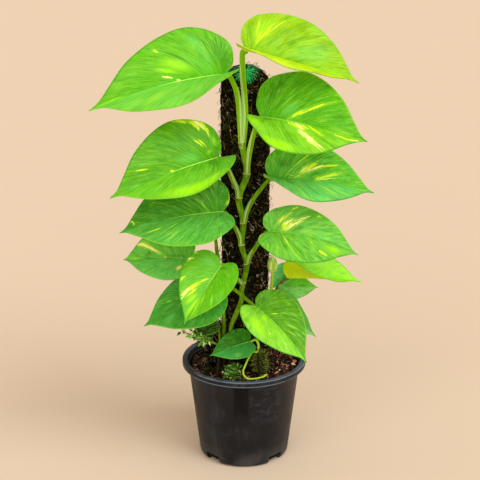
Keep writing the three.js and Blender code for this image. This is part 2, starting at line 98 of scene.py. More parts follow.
BLADES = {
    "leaf_top_left": blade(
        (-20, -52, 491), (-173, -72, 455), (0.385, 28, 40, 20, 0), (0.375, 30, 5, 30, 0.03),
        arch=0.05, side=-0.02, full=1.07,
    ),
    "leaf_top_right": blade(
        (1, -46, 518), (126, -80, 489), (0.39, 30, 0, 30, 0.04), (0.31, 52, 20, 20, 0.15),
        arch=0.03, full=0.84, face=(0, 46),
    ),
    "leaf_upper_right": blade(
        (18, -56, 443), (135, -108, 430), (0.465, 30, 0, 30, 0.03), (0.44, 18, 44, 20, 0.2),
        arch=0.05, full=0.88,
    ),
    "leaf_upper_left": blade(
        (-29, -58, 396), (-149, -112, 366), (0.375, 22, 34, 20, 0), (0.415, 30, 5, 30, 0.14),
        arch=0.05, full=0.95,
    ),
    "leaf_mid_right": blade(
        (31, -50, 368), (147, -70, 358), (0.38, 30, 0, 30, 0.06), (0.39, 26, 50, 20, 0.14),
        arch=0.05, side=0.02, full=0.93,
    ),
    "leaf_mid_left": blade(
        (-24, -58, 331), (-142, -80, 313), (0.38, 16, 20, 20, 0.08), (0.4, 30, 5, 30, 0),
        arch=0.05, side=-0.02, full=0.9,
    ),
    "leaf_lower_right": blade(
        (28, -58, 307), (130, -84, 288), (0.315, 30, 10, 30, 0), (0.4, 18, 22, 20, 0.12),
        arch=0.06, side=0.035, full=0.9,
    ),
    "leaf_left_behind": blade(
        (-64, -25, 261), (-143, -18, 257), (0.385, 20, 5, 30, 0), (0.46, 30, 5, 30, 0),
        arch=0.05, full=0.83,
    ),
    "leaf_right_behind": blade(
        (52, -6, 230), (139, -22, 231), (0.4, 40, 10, 20, 0.2), (0.42, 30, 58, 10, 0.2),
        arch=0.02, face=(0, 72),
    ),
    "leaf_front_left": blade(
        (-26, -64, 268), (-69, -112, 214), (0.36, 24, 10, 20, 0), (0.45, 14, 5, 20, 0), face=(0, 40),
    ),
    "leaf_low_left": blade(
        (-37, -34, 229), (-118, -56, 188), (0.46, 16, 5, 20, 0), (0.32, 30, 5, 20, 0), arch=0.05,
    ),
    "leaf_front_right": blade(
        (13, -62, 216), (72, -112, 166), (0.38, 16, 5, 20, 0), (0.38, 24, 20, 20, 0.06),
        side=0.04, full=0.96, face=(0, 40),
    ),
    "leaf_front_small": blade((6, -44, 163), (-41, -58, 151), (0.38, 16, 5, 20, 0), (0.38, 20, 5, 20, 0)),
    "leaf_right_small": blade((42, 5, 212), (90, 12, 210), (0.36, 20, 5, 20, 0), (0.38, 20, 5, 20, 0)),
    "leaf_right_low": blade(
        (43, -26, 219), (85, -60, 175), (0.32, 55, 5, 20, 0), (0.36, 20, 5, 20, 0), face=(-30, 30),
    ),
    "leaf_shaded_small": blade(
        (54, 8, 236.5), (33, 0, 212.5), (0.38, 20, 5, 20, 0), (0.38, 20, 5, 20, 0), face=(0, 40),
    ),
    "leaf_back_left": blade((-44, -6, 310), (-104, 4, 304), (0.34, 20, 5, 20, 0), (0.34, 20, 5, 20, 0)),
    "leaf_low_left_small": blade(
        (-33, -38, 184), (-63, -46, 172), (0.36, 20, 5, 20, 0), (0.36, 20, 5, 20, 0),
    ),
}


def look(left, right, streaks, rib=0.3, under=(145, 195, 90), **marks):
    """How a blade is coloured: its left and right half and its underside, how strong its streaks are, how
    pale its midrib is, and its markings by kind. A marking is where it starts and ends on the blade
    (a, b, a, b) and half its width in a, in thousandths; b is negative on the right half."""
    return dict(left=left, right=right, streaks=streaks, rib=rib, under=under, marks=marks)


LOOKS = {
    "leaf_top_left": look(
        (118, 215, 65), (98, 188, 13), streaks=0.18, rib=1,
        deep=[(600, -950, 600, -100, 8), (420, -980, 420, -120, 14), (270, -900, 250, -50, 130)],
        sheen=[(470, -850, 470, -200, 30), (860, 800, 820, 100, 60)],
        glow=[(645, -660, 645, -180, 36), (700, -600, 690, -250, 18), (950, -700, 930, 100, 30)],
        light=[(680, 900, 700, 500, 30)],
        yellow=[(605, -860, 610, -760, 5)],
        cream=[(737, -360, 736, -220, 6), (728, -100, 737, 10, 6)],
    ),
    "leaf_top_right": look(
        (153, 204, 1), (207, 244, 9), streaks=0.3, under=(232, 240, 24),
        olive=[(520, 980, 520, 80, 12), (610, 980, 600, 100, 16), (240, 950, 260, 250, 30)],
        sheen=[(700, 920, 720, 150, 70), (820, -900, 840, -200, 50)],
        glow=[(360, 800, 380, 100, 80), (900, 600, 880, -100, 40)],
        yellow=[
            (420, 660, 400, 200, 14), (360, 450, 380, 140, 14), (310, 780, 320, 420, 7),
            (450, 800, 440, 360, 5), (500, -980, 500, -700, 50), (360, -980, 380, -500, 30),
            (720, -300, 700, -600, 10),
        ],
    ),
    "leaf_upper_right": look(
        (89, 180, 1), (127, 207, 31), streaks=0.25, rib=0.5,
        deep=[(330, 950, 360, 100, 80), (440, -80, 360, -350, 60)],
        olive=[(570, -250, 575, -950, 30)],
        sheen=[(580, 400, 600, 80, 40)],
        glow=[(240, -980, 300, -500, 120), (460, -1000, 500, -750, 100)],
        light=[(530, 540, 530, 180, 8), (765, 520, 770, 280, 8), (900, 700, 880, 50, 50)],
        yellow=[
            (672, 760, 670, 300, 8), (668, 450, 645, 30, 12), (665, -40, 680, -350, 26),
            (720, -80, 720, -320, 16), (760, -140, 750, -550, 10), (840, -550, 850, -900, 14),
        ],
        cream=[(680, -280, 675, -920, 18), (700, -80, 685, -400, 14), (870, -820, 900, -980, 16)],
    ),
    "leaf_upper_left": look(
        (104, 193, 31), (87, 168, 4), streaks=0.14, rib=0.9,
        deep=[(450, 50, 400, 600, 70)],
        olive=[(330, -400, 380, -800, 20), (450, -500, 470, -950, 20)],
        sheen=[(920, 700, 930, -700, 40), (640, -350, 600, -40, 70)],
        glow=[(540, 1020, 520, 720, 160), (460, 980, 440, 700, 50)],
        light=[(190, -750, 240, -350, 50), (360, -200, 450, -100, 60)],
        glint=[(905, 320, 912, -100, 6)],
        yellow=[
            (770, 40, 760, -100, 8), (270, -620, 300, -1000, 20), (330, -740, 360, -1000, 30),
            (430, -1020, 390, -880, 30), (400, -280, 420, -420, 13), (450, -300, 460, -460, 11),
            (755, -620, 756, -840, 4),
        ],
        cream=[(310, -800, 330, -1000, 12)],
    ),
    "leaf_mid_right": look(
        (93, 191, 44), (97, 205, 95), streaks=0.45, rib=0.2,
        deep=[
            (400, 500, 450, 250, 80), (590, 850, 600, 500, 14), (650, -120, 630, -550, 6),
            (600, -40, 500, -300, 30),
        ],
        sheen=[(800, -600, 800, 200, 60)],
        glow=[(930, -800, 940, 100, 30)],
        light=[(710, -350, 700, -850, 10), (745, -500, 745, -950, 9)],
        yellow=[
            (685, 800, 655, 500, 8), (620, 520, 640, 120, 24), (745, 600, 760, 40, 14),
            (560, 120, 600, 90, 12), (545, 900, 540, 200, 3.5),
        ],
        cream=[(665, 620, 645, 150, 12), (618, 400, 625, 200, 8), (785, 500, 775, 120, 5)],
    ),
    "leaf_mid_left": look(
        (83, 178, 62), (53, 144, 4), streaks=0.26, rib=0.5,
        deep=[(250, 150, 350, 250, 120)],
        sheen=[(320, 600, 420, 500, 100), (900, -500, 900, 600, 40)],
        glow=[(130, -600, 100, -950, 30)],
        light=[(700, 650, 700, 350, 7), (640, 850, 630, 580, 6), (550, -100, 530, -320, 12)],
        yellow=[
            (765, 880, 745, 620, 6), (645, 30, 680, 0, 12), (880, -760, 835, -930, 7),
            (100, -1050, 120, -930, 50),
        ],
    ),
    "leaf_lower_right": look(
        (108, 199, 67), (112, 195, 59), streaks=0.45,
        deep=[
            (455, 350, 500, 100, 14), (200, 50, 450, 90, 80), (620, 100, 640, 450, 30),
            (575, -200, 580, -850, 10), (490, -250, 500, -800, 14),
        ],
        sheen=[(350, -300, 300, -600, 50), (800, 100, 800, 700, 60)],
        glow=[(780, -950, 800, -500, 50)],
        light=[(670, 720, 660, 460, 10), (740, 200, 770, 40, 18), (540, -500, 535, -950, 10)],
        yellow=[
            (440, 580, 400, 220, 30), (490, 400, 540, 70, 30), (580, 950, 590, 840, 10),
            (450, 920, 440, 800, 9), (540, -60, 540, -600, 6), (725, -280, 710, -520, 6),
            (700, -740, 700, -880, 8),
        ],
        cream=[
            (440, 500, 410, 280, 14), (560, 580, 570, 100, 20), (520, 500, 500, 260, 14),
            (100, -1050, 100, -880, 50),
        ],
    ),
    "leaf_left_behind": look(
        (101, 204, 85), (96, 195, 57), streaks=0.3,
        deep=[(790, -300, 760, -550, 25), (400, -20, 600, -120, 120)],
        glow=[(920, -980, 900, 700, 40)],
        yellow=[(700, -300, 705, -1000, 20)],
        cream=[(700, -160, 705, -980, 12), (430, 530, 430, 350, 40)],
    ),
    # Its underside is partly its own yellow and partly painted light, raised bright for light shining through
    # the leaf.
    "leaf_right_behind": look(
        (174, 250, 65), (164, 248, 34), streaks=0.15, rib=0.2, under=(222, 255, 12),
        sheen=[(600, 900, 600, 400, 50)],
        glow=[(900, 950, 880, 50, 60), (900, -950, 880, -50, 80)],
    ),
    "leaf_front_left": look(
        (94, 181, 9), (102, 190, 30), streaks=0.1, rib=0.5,
        deep=[(400, 50, 320, 300, 100)],
        sheen=[(420, -150, 340, -600, 100)],
        glow=[(860, 900, 840, 0, 45), (860, 0, 870, -950, 50), (780, -400, 760, -900, 30)],
        light=[(780, 700, 770, 200, 20), (660, 950, 670, 600, 10)],
        yellow=[
            (680, -420, 690, -740, 20), (665, -150, 670, -420, 8), (725, -820, 720, -500, 10),
            (580, -860, 590, -980, 10), (340, -900, 350, -1000, 14),
        ],
        cream=[(685, -760, 690, -1020, 18), (425, -840, 430, -970, 18)],
    ),
    "leaf_low_left": look(
        (53, 152, 42), (51, 150, 35), streaks=0.14,
        deep=[(620, -700, 660, -980, 30)],
        sheen=[(750, 900, 780, 500, 40)],
        light=[(890, 200, 892, -200, 7), (720, -740, 720, -580, 12)],
    ),
    "leaf_front_right": look(
        (82, 152, 5), (135, 213, 48), streaks=0.3, rib=0.2,
        deep=[(550, 250, 560, 550, 16), (300, 300, 200, 600, 100), (400, -50, 200, -350, 40)],
        sheen=[(920, 0, 930, 800, 40), (930, -600, 920, 0, 50)],
        glow=[(500, -400, 520, -850, 90), (600, -80, 580, -350, 50)],
        light=[
            (600, 620, 600, 420, 7), (700, 800, 710, 400, 12), (760, 700, 770, 300, 10),
            (300, -950, 320, -500, 80), (740, -900, 740, -400, 20),
        ],
        yellow=[(612, 320, 612, 170, 6), (630, -580, 630, -720, 4)],
    ),
    "leaf_front_small": look(
        (52, 163, 73), (17, 111, 1), streaks=0.02, rib=0.8,
        sheen=[(550, 900, 600, 600, 60)],
        light=[(820, 300, 820, -300, 10)],
    ),
    # Painted light: colours raised well above the leaf's own green, because it hangs in shade.
    "leaf_right_small": look(
        (111, 218, 58), (164, 255, 146), streaks=0.35,
        deep=[(660, 100, 720, 20, 50), (820, 600, 800, 200, 25), (840, -100, 820, -800, 20)],
        sheen=[(620, 700, 780, 50, 30), (660, -600, 600, -950, 60)],
        light=[(890, 600, 880, 0, 15)],
    ),
    "leaf_right_low": look((131, 232, 125), (155, 230, 145), streaks=0.15, glow=[(360, 980, 350, 500, 30)]),
    # Painted light: colours raised well above the leaf's own green, because it hangs in shade.
    "leaf_shaded_small": look(
        (128, 255, 139), (130, 251, 151), streaks=0.3,
        deep=[(700, 100, 680, 600, 60)],
        yellow=[(500, 950, 550, 600, 20)],
    ),
    "leaf_back_left": look((80, 162, 52), (76, 158, 48), streaks=0.25),
    "leaf_low_left_small": look((10, 22, 2), (12, 44, 2), streaks=0),
}


def limb(foot, end, *points, sheath=0, wings=0.14, drop=0):
    """A stem or stalk: its radius at the foot and the end, its points, how far its sheath reaches as a
    share of it, how high the sheath's edges stand, and how much deeper than usual it runs under its blade."""
    return dict(radius=(foot, end), points=points, sheath=sheath, wings=wings, drop=drop)


# Stems and their stalks, as in the part's source
VINES = {
    "vine_front": {
        "stem": limb(
            2.4, 4, (-16, -42, 98), (-16, -42, 118), (-16, -40, 140), (-16, -38, 160), (-15, -36, 181),
            (-11, -35, 191), (-7, -34, 201), (-3, -34, 213), (-3, -34, 224), (-1, -34, 235), (3, -34, 258),
            (-3, -34, 282), (-1, -34, 309), (-6, -34, 340), (3, -34, 369), (-3, -34, 408),
        ),
        "leaf_top_left": limb(
            3.4, 2.8, (-3, -34, 400), (-5, -36, 433), (-7, -40, 458), (-11, -47, 477),
            sheath=0.8, wings=0.4,
        ),
        "leaf_top_right": limb(
            3.6, 3.1, (-2, -34, 400), (1, -35, 436), (0, -36, 465), (-2, -39, 495), sheath=0.85, wings=0.4,
        ),
        "leaf_upper_right": limb(
            3.5, 2.3, (3, -34, 366), (4, -36, 383), (7, -40, 402), (11, -45, 421), sheath=0.75, wings=0.4,
        ),
        "leaf_upper_left": limb(
            3.2, 2.3, (-6, -34, 336), (-8, -36, 350), (-13, -41, 364), (-19, -47, 379), sheath=0.8,
        ),
        "leaf_mid_right": limb(
            3.2, 1.9, (-1, -34, 306), (2, -36, 321), (8, -39, 336), (17, -43, 351), sheath=0.5,
        ),
        "leaf_mid_left": limb(
            3, 1.8, (-3, -34, 279), (-5, -36, 292), (-10, -42, 305), (-16, -48, 318), sheath=0.5,
        ),
        "leaf_lower_right": limb(
            3, 1.8, (3, -34, 255), (6, -36, 267), (12, -42, 280), (20, -49, 295), sheath=0.4, drop=-0.4,
        ),
        "leaf_front_left": limb(
            2.8, 1.8, (-1, -34, 232), (-6, -40, 239), (-12, -48, 248), (-19, -55, 258), sheath=0.3,
        ),
    },
    "vine_left": {
        "stem": limb(
            2.4, 2.2, (-24, -37, 98), (-24, -37, 118), (-24, -36, 150), (-24, -36, 180), (-25, -34, 205),
            (-28, -28, 225), (-31, -21, 240), (-31, -17, 256), (-33, -13, 272),
        ),
        "leaf_front_right": limb(
            2.3, 1.8, (-28, -28, 224), (-23, -38, 231), (-14, -44, 231), (-4, -50, 226), (5, -54, 219),
        ),
        "leaf_left_behind": limb(2.2, 1.6, (-30, -23, 236), (-38, -23, 246), (-50, -22, 253)),
        "leaf_low_left": limb(2.2, 1.6, (-25, -34, 203), (-27, -31, 214), (-29.5, -28, 223), drop=0.4),
        "leaf_back_left": limb(2.2, 1.5, (-32, -15, 264), (-34, -11, 282), (-38, -6, 298)),
    },
    "vine_right": {
        "stem": limb(
            2.3, 1.9, (25, -29, 98), (25, -29, 118), (28, -26, 140), (31, -21, 165), (32, -17, 190),
            (32, -15, 212), (33, -15, 226), (34, -17, 239.9),
        ),
        "leaf_right_behind": limb(1.9, 1.5, (32, -15, 209), (37, -12, 215), (44, -7, 223), drop=0.3),
        "leaf_right_small": limb(1.8, 1.4, (32, -17, 190), (34, -9, 195), (37, 3, 204)),
        "leaf_right_low": limb(1.9, 1.4, (32, -17, 188), (35, -17, 204), (38, -18, 216)),
        "leaf_shaded_small": limb(
            1.8, 1.3, (31, -21, 163), (35, -8, 176), (38, 8, 192), (42, 25, 207), (49, 28, 224),
            (57, 19, 236),
        ),
    },
    "shoot_front": {
        "stem": limb(1.5, 1.4, (18, -47, 98), (18, -47, 118), (17, -46, 135), (16, -46, 152)),
        "leaf_front_small": limb(1.6, 1.3, (16, -46, 150), (17, -45, 160), (14, -43, 165)),
        "runner": limb(
            1.2, 0.9, (16, -46, 150), (11, -49, 152), (6, -53, 147), (2, -58, 140), (-1, -62, 133),
            (0, -64, 128), (5, -65, 124.5), (12, -65, 124.5), (19, -64, 125.5), (27, -61, 128),
        ),
        "runner_fork": limb(0.9, 0.8, (19, -64, 125.5), (23, -65, 127), (27, -66, 131)),
    },
    "shoot_left": {
        "stem": limb(1.8, 1.5, (-32, -45, 98), (-32, -45, 118), (-30, -44, 140), (-27, -44, 160)),
        "leaf_low_left_small": limb(
            1.4, 1.2, (-28, -44, 155), (-29, -39, 168), (-30, -35.5, 178), drop=0.4,
        ),
        "twig": limb(1.2, 0.9, (-28, -44, 156), (-35, -48, 163), (-43, -50, 168), (-50, -52, 175)),
    },
}
# Heights of the swollen nodes on the stems
NODES = {
    "vine_front": (235, 258, 282, 309, 340, 369, 407),
    "vine_left": (205, 236, 256),
    "vine_right": (190, 212),
}


# Materials


def paint(*color):
    """A shader colour from a screen colour."""
    screen = array(color) / 255
    linear = np.where(screen <= 0.04045, screen / 12.92, ((screen + 0.055) / 1.055) ** 2.4)
    return (*linear, 1)


class Term:
    """An output of a shader node. Terms are summed and scaled as numbers are."""

    def __init__(self, shader, socket):
        self.shader = shader
        self.socket = socket

    def apply(self, operation, *values):
        return self.shader.add("Math", dict(enumerate((self, *values))), operation=operation)

    __add__ = partialmethod(apply, "ADD")
    __sub__ = partialmethod(apply, "SUBTRACT")
    __mul__ = partialmethod(apply, "MULTIPLY")
    __truediv__ = partialmethod(apply, "DIVIDE")
    __pow__ = partialmethod(apply, "POWER")
    __abs__ = partialmethod(apply, "ABSOLUTE")

    def between(self, low, high, top=1):
        """0 below low, top above high and smooth between them; low may be above high."""
        inputs = {"Value": self, "From Min": low, "From Max": high, "To Max": top}
        return self.shader.add("MapRange", inputs, interpolation_type="SMOOTHSTEP")

    def near(self, middle, wide, narrow, top=1):
        """top where the term is within the narrow distance of a middle value, 0 beyond the wide one."""
        return abs(self - middle).between(wide, narrow, top)

    def span(self, low, high):
        """A share from 0 to 1 turned into a value from low to high."""
        return self.shader.add("MapRange", {"Value": self, "To Min": low, "To Max": high})


class Shader:
    """A material whose base colour is tinted step by step. Inputs are numbers, colours, vectors or terms."""

    def __init__(self, name, color, roughness, specular):
        self.material = bpy.data.materials.new(name)
        self.material.use_nodes = True
        self.tree = self.material.node_tree
        self.surface = self.tree.nodes["Principled BSDF"].inputs
        self.color = color
        self.put(self.surface["Roughness"], roughness)
        self.put(self.surface["Specular IOR Level"], specular)
        self.place = self.add("TexCoord", {}, "Object")

    def put(self, socket, value):
        if isinstance(value, Term):
            self.tree.links.new(value.socket, socket)
        else:
            socket.default_value = paint(*value) if socket.type == "RGBA" else value

    def add(self, kind, inputs, output=0, **settings):
        node = self.tree.nodes.new("ShaderNode" + kind)
        for key, value in settings.items():
            setattr(node, key, value)
        for key, value in inputs.items():
            self.put(node.inputs[key], value)
        return Term(self, node.outputs[output])

    def vector(self, operation, output, *values):
        return self.add("VectorMath", dict(enumerate(values)), output, operation=operation)

    def uv(self, name):
        return self.add("UVMap", {}, uv_map=name)

    def field(self, name):
        return self.add("Attribute", {}, "Fac", attribute_name=name)

    def axis(self, name, vector=None):
        return self.add("SeparateXYZ", {0: vector or self.place}, name)

    def noise(self, scale, detail=2, rough=0.5, stretch=(1, 1, 1), shift=(0, 0, 0), place=None):
        place = self.vector("MULTIPLY_ADD", 0, place or self.place, stretch, shift)
        inputs = {"Vector": place, "Scale": scale, "Detail": detail, "Roughness": rough}
        return self.add("TexNoise", inputs, "Fac")

    def mix(self, share, first, second):
        return self.add("Mix", {0: share, 6: first, 7: second}, 2, data_type="RGBA")

    def tint(self, share, color):
        """Turns the base colour towards another one by a share."""
        self.color = self.mix(share, self.color, color)

    def finish(self, height=None, relief=0, roughness=None):
        """Ends the material; bumps follow the given height, relief millimetres deep."""
        self.put(self.surface["Base Color"], self.color)
        if roughness:
            self.put(self.surface["Roughness"], roughness)
        if height:
            self.put(self.surface["Normal"], self.add("Bump", {"Distance": relief * MM, "Height": height}))
        return self.material


# Meshes


def add_piece(name, slot, replaced, points, faces, *materials, uvs={}, fields={}, lower=None, flat=False):
    """A shown piece from points in millimetres; faces holds index arrays, one for each corner count. It may
    stand for a node of the frame."""
    mesh = bpy.data.meshes.new(name)
    mesh.from_pydata(points * MM, [], [face for group in faces for face in group.tolist()], shade_flat=flat)
    corners = concatenate([group.ravel() for group in faces])
    for material in materials:
        mesh.materials.append(material)
    if lower is not None:
        mesh.polygons.foreach_set("material_index", lower)
    for key, values in uvs.items():
        mesh.uv_layers.new(name=key).data.foreach_set("uv", values[corners].ravel())
    for key, values in fields.items():
        mesh.attributes.new(key, "FLOAT", "POINT").data.foreach_set("value", values)
    mesh.validate()
    obj = bpy.data.objects.new(name, mesh)
    bpy.context.scene.collection.objects.link(obj)
    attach(obj, "root")
    if replaced:
        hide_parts(replaced)
    return obj


def unit(vectors):
    return vectors / np.maximum(np.linalg.norm(vectors, axis=-1, keepdims=True), 1e-9)


def ring_angles(sides):
    return TURN * arange(sides) / sides


def rings_of(profile, sides, x=0):
    """Level rings of points, one for each radius and height of a profile, around an upright axis at x."""
    turn = ring_angles(sides)
    return vstack([stack([x + r * cos(turn), r * sin(turn), z + 0 * turn], 1) for r, z in profile])


def grid_faces(rows, columns, closed=False):
    """Quads between the points of a grid; closed joins its last column to its first."""
    i = arange(rows - 1)[:, None] * columns
    j = arange(columns if closed else columns - 1)
    first = i + j
    second = i + (j + 1) % columns
    return stack([first, second, second + columns, first + columns], -1).reshape(-1, 4)


def fan(start, sides, centre):
    """Triangles from a ring of points, by the number of its first one, to a centre point."""
    k = arange(sides)
    return stack([start + k, start + (k + 1) % sides, 0 * k + centre], 1)


def copies(faces, count, size):
    """The faces of a piece of the given number of points, repeated for its copies."""
    return (faces + size * arange(count)[:, None, None]).reshape(-1, faces.shape[1])


def bumps(x, y, z):
    """Small repeatable bumps: a sum of waves that never line up."""
    first = sin(0.61 * x + 0.37 * z) * sin(0.53 * y - 0.29 * z + 1.3)
    return first + 0.6 * sin(1.27 * x - 0.91 * y + 0.4) * sin(0.83 * z + 1.1 * y)


def bell(value, middle, width):
    return exp(-(((value - middle) / width) ** 2))


def draw(count, low, high):
    """Random values, one for each of count things, as a column."""
    return chance.uniform(low, high, (count, 1))


def scatter(count, size):
    """Random offsets in space, one for each of count paths."""
    return chance.normal(0, size, (count, 1, 3))


# Leaves
LARGE_LEAF = 75
USUAL_LEAF = 140


def spline_at(points, share):
    """Smooth curve through 2D points, at shares from 0 to 1."""
    p = array(points)
    last = len(p) - 1
    place = share * last
    i = np.minimum(place.astype(int), last - 1)
    t = (place - i)[..., None]
    padded = vstack([2 * p[0] - p[1], p, 2 * p[-1] - p[-2]])
    p0, p1, p2, p3 = (padded[i + k] for k in range(4))
    bend = 2 * p0 - 5 * p1 + 4 * p2 - p3
    twist = 3 * p1 - p0 - 3 * p2 + p3
    return 0.5 * (2 * p1 + (p2 - p0) * t + bend * t**2 + twist * t**3)


def flat_blade(a, b):
    """Place on the flat blade: a runs along the margin from notch to tip, b out along a vein."""
    margin_u, margin_v = np.moveaxis(spline_at(OUTLINE, a), -1, 0)
    beyond_lobe = np.maximum(0, (a - LOBE_VEINS) / (1 - LOBE_VEINS))
    root = 0.09 * a + 0.91 * beyond_lobe**2.1
    along_vein = 2 * b * (1 - b)
    return root + (0.3 * along_vein + b * b) * (margin_u - root), (0.58 * along_vein + b * b) * margin_v


def blade_frame(blade):
    base = array(blade["base"], float)
    along = blade["tip"] - base
    length = np.linalg.norm(along)
    along /= length
    turn, height = np.radians(blade["face"])
    face = array([sin(turn) * cos(height), -cos(turn) * cos(height), sin(height)])
    up = unit(face - along * (face @ along))
    return base, length, along, np.cross(up, along), up


def blade_points(blade, a, b):
    """Places in space and on the flat blade; b is negative on the right half."""
    base, length, along, left, up = blade_frame(blade)
    on_left = b >= 0
    shape = np.where(on_left[..., None], blade["left"], blade["right"])
    half, fold_mid, pinch, droop, skew = np.moveaxis(shape, -1, 0)
    u, v = flat_blade(a, abs(b))
    u = np.where(u > 0, np.maximum(u, 0) ** blade["full"], u)
    u = u + skew * v * (1 - clip(u, 0, 1)) ** 2
    fold = np.radians(fold_mid + pinch * (1 - u) ** 2)
    curl = np.radians(droop)
    edge = fold - curl * v / OUTLINE_HALF
    out = (sin(fold) - sin(edge)) / curl * half * np.where(on_left, 1, -1)
    rise = (cos(edge) - cos(fold)) / curl * half
    bow = 4 * u * (1 - u)
    amounts = stack([u, out + blade["side"] * bow, rise + blade["arch"] * bow], -1)
    return base + length * amounts @ stack([along, left, up]), stack([u, v], -1)


def vertex_normals(points, faces):
    """Normals of the points of a sheet of quads and triangles."""
    normal = np.zeros_like(points)
    for corners in faces:
        place = points[corners]
        across = np.cross(place[:, 2] - place[:, 0], place[:, -1] - place[:, 1])
        for column in corners.T:
            np.add.at(normal, column, across)
    return unit(normal)


def blade_relief(a, b, seed, waves):
    """Height of a blade's skin: shallow folds along the veins, a waved margin and soft swellings."""
    out = abs(b)
    folds = 0.52 * cos(TURN * waves * a + 0.8 * seed) * out * (1 - out) * clip((1 - a) / 0.12, 0, 1)
    margin = 0.9 * sin(9 * pi * a + 1.9 * seed + np.sign(b)) * out**3 * sin(pi * a) ** 0.5
    return folds + margin + 0.5 * sin(5.3 * pi * a + 2.6 * seed) * sin(pi * out) ** 2


# Soft zones and crisp markings of a blade: colour and strength. Sheen is a painted reflection of the lamps,
# glint a painted highlight.
SOFT = dict(
    deep=((30, 112, 0), 0.5),
    olive=((84, 166, 4), 0.5),
    sheen=((124, 232, 112), 0.34),
    glow=((172, 250, 6), 0.72),
    light=((166, 240, 60), 0.55),
    glint=((214, 255, 206), 0.85),
)
CRISP = dict(yellow=((222, 250, 40), 0.92), cream=((255, 255, 140), 0.97))


def leaf_noise(s, place, seed, across, along, detail=2):
    """Noise over a blade that differs from leaf to leaf."""
    shift = (1.7 * seed, 2.3 * seed, 0.9 * seed)
    return s.noise(1, detail, 0.5 if detail == 2 else 0.6, (across, along, 1), shift, place)


def nearest_marks(s, vein, look, kinds):
    """For each kind of marking that a blade has: how far a place is from the nearest one, below 1 where it is
    inside, and the kind's colour and strength."""
    for kind in kinds:
        nearest = None
        for mark in look["marks"].get(kind, ()):
            start_a, start_b, end_a, end_b, width = array(mark) / 1000
            slope = (end_a - start_a) / (end_b - start_b)
            reach = abs(end_b - start_b) / 2
            middle = ((start_a + end_a) / 2, (start_b + end_b) / 2, 0)
            offset = s.vector("SUBTRACT", 0, vein, middle)
            aside = s.vector("DOT_PRODUCT", "Value", offset, (1 / width, -slope / width, 0))
            ahead = s.axis("Y", offset) / reach
            distance = (aside * aside + ahead * ahead) ** 0.5
            nearest = nearest.apply("MINIMUM", distance) if nearest else distance
        if nearest:
            yield nearest, *kinds[kind]


def leaf_material(name, look, seed):
    s = Shader(name, look["right"], 0.4, 0.16)
    vein, flat = s.uv("vein"), s.uv("blade")
    b, u, v = s.axis("Y", vein), s.axis("X", flat), s.axis("Y", flat)
    lines = leaf_noise(s, vein, seed, 120, 3.5)
    dashes = leaf_noise(s, vein, seed, 80, 5, 3)
    bands = leaf_noise(s, vein, seed, 24, 2, 3)
    clouds = leaf_noise(s, flat, seed, 5, 9)
    skin = leaf_noise(s, flat, seed, 70, 110)
    pale = (176, 240, 70)
    deep = SOFT["deep"][0]
    streaks = look["streaks"]
    grain = 0.11 + 0.7 * streaks
    on_left = b.between(-0.03, 0.03)
    uneven = lines + dashes - 1
    s.tint(on_left, look["left"])
    # Painted sheen: pale bluish patches. The deeper green patches on the next line are the leaf's own tone.
    s.tint(clouds.between(0.5, 0.68, 0.14), (110, 224, 100))
    s.tint(clouds.between(0.48, 0.32, 0.26), (70, 168, 0))
    s.tint(bands.between(0.5, 0.3, 0.06 + 0.8 * streaks), deep)
    s.tint(bands.between(0.52, 0.72, 0.04 + 0.7 * streaks), pale)
    for near, color, strength in nearest_marks(s, vein, look, SOFT):
        s.tint((near + uneven * 1.1).between(1.35, 0.25, strength), color)
    for streak, light, dark in ((dashes, grain, 1.1 * grain), (lines, 0.24, 0.32)):
        s.tint(streak.between(0.52, 0.72, light), pale)
        s.tint(streak.between(0.48, 0.28, dark), deep)
    s.tint(skin.between(0.5, 0.75, 0.1), pale)
    s.tint(skin.between(0.5, 0.25, 0.1), deep)
    for near, color, strength in nearest_marks(s, vein, look, CRISP):
        ragged = near + uneven * 3
        s.tint(ragged.between(1.8, 0.8, 0.4), (164, 230, 40))
        s.tint(ragged.between(1.1, 0.75, strength), color)
    rib_width = (u * -0.013 + 0.0115).apply("MAXIMUM", 0.003)
    rib = (abs(v) / rib_width).between(1.1, 0.5) * u.between(0.68, 0.3)
    s.tint(rib.between(0, 1, look["rib"]), (206, 248, 120))
    s.tint(abs(b).between(0.962, 0.985, 0.65), s.mix(on_left, (62, 144, 8), (130, 200, 36)))
    return s.finish(lines + bands * 1.5, 0.3, bands.span(0.46, 0.34))


def underside_material(name, look, seed):
    s = Shader(name, look["under"], 0.6, 0.12)
    vein = s.uv("vein")
    lines = leaf_noise(s, vein, seed, 110, 2.2)
    s.tint(leaf_noise(s, vein, seed, 24, 1.3, 3).between(0.48, 0.7, 0.3), (204, 228, 120))
    s.tint(lines.between(0.5, 0.3, 0.2), (84, 136, 30))
    s.tint(s.axis("Y", s.uv("blade")).near(0, 0.014, 0.006, 0.5), (196, 214, 110))
    return s.finish(lines, 0.3)


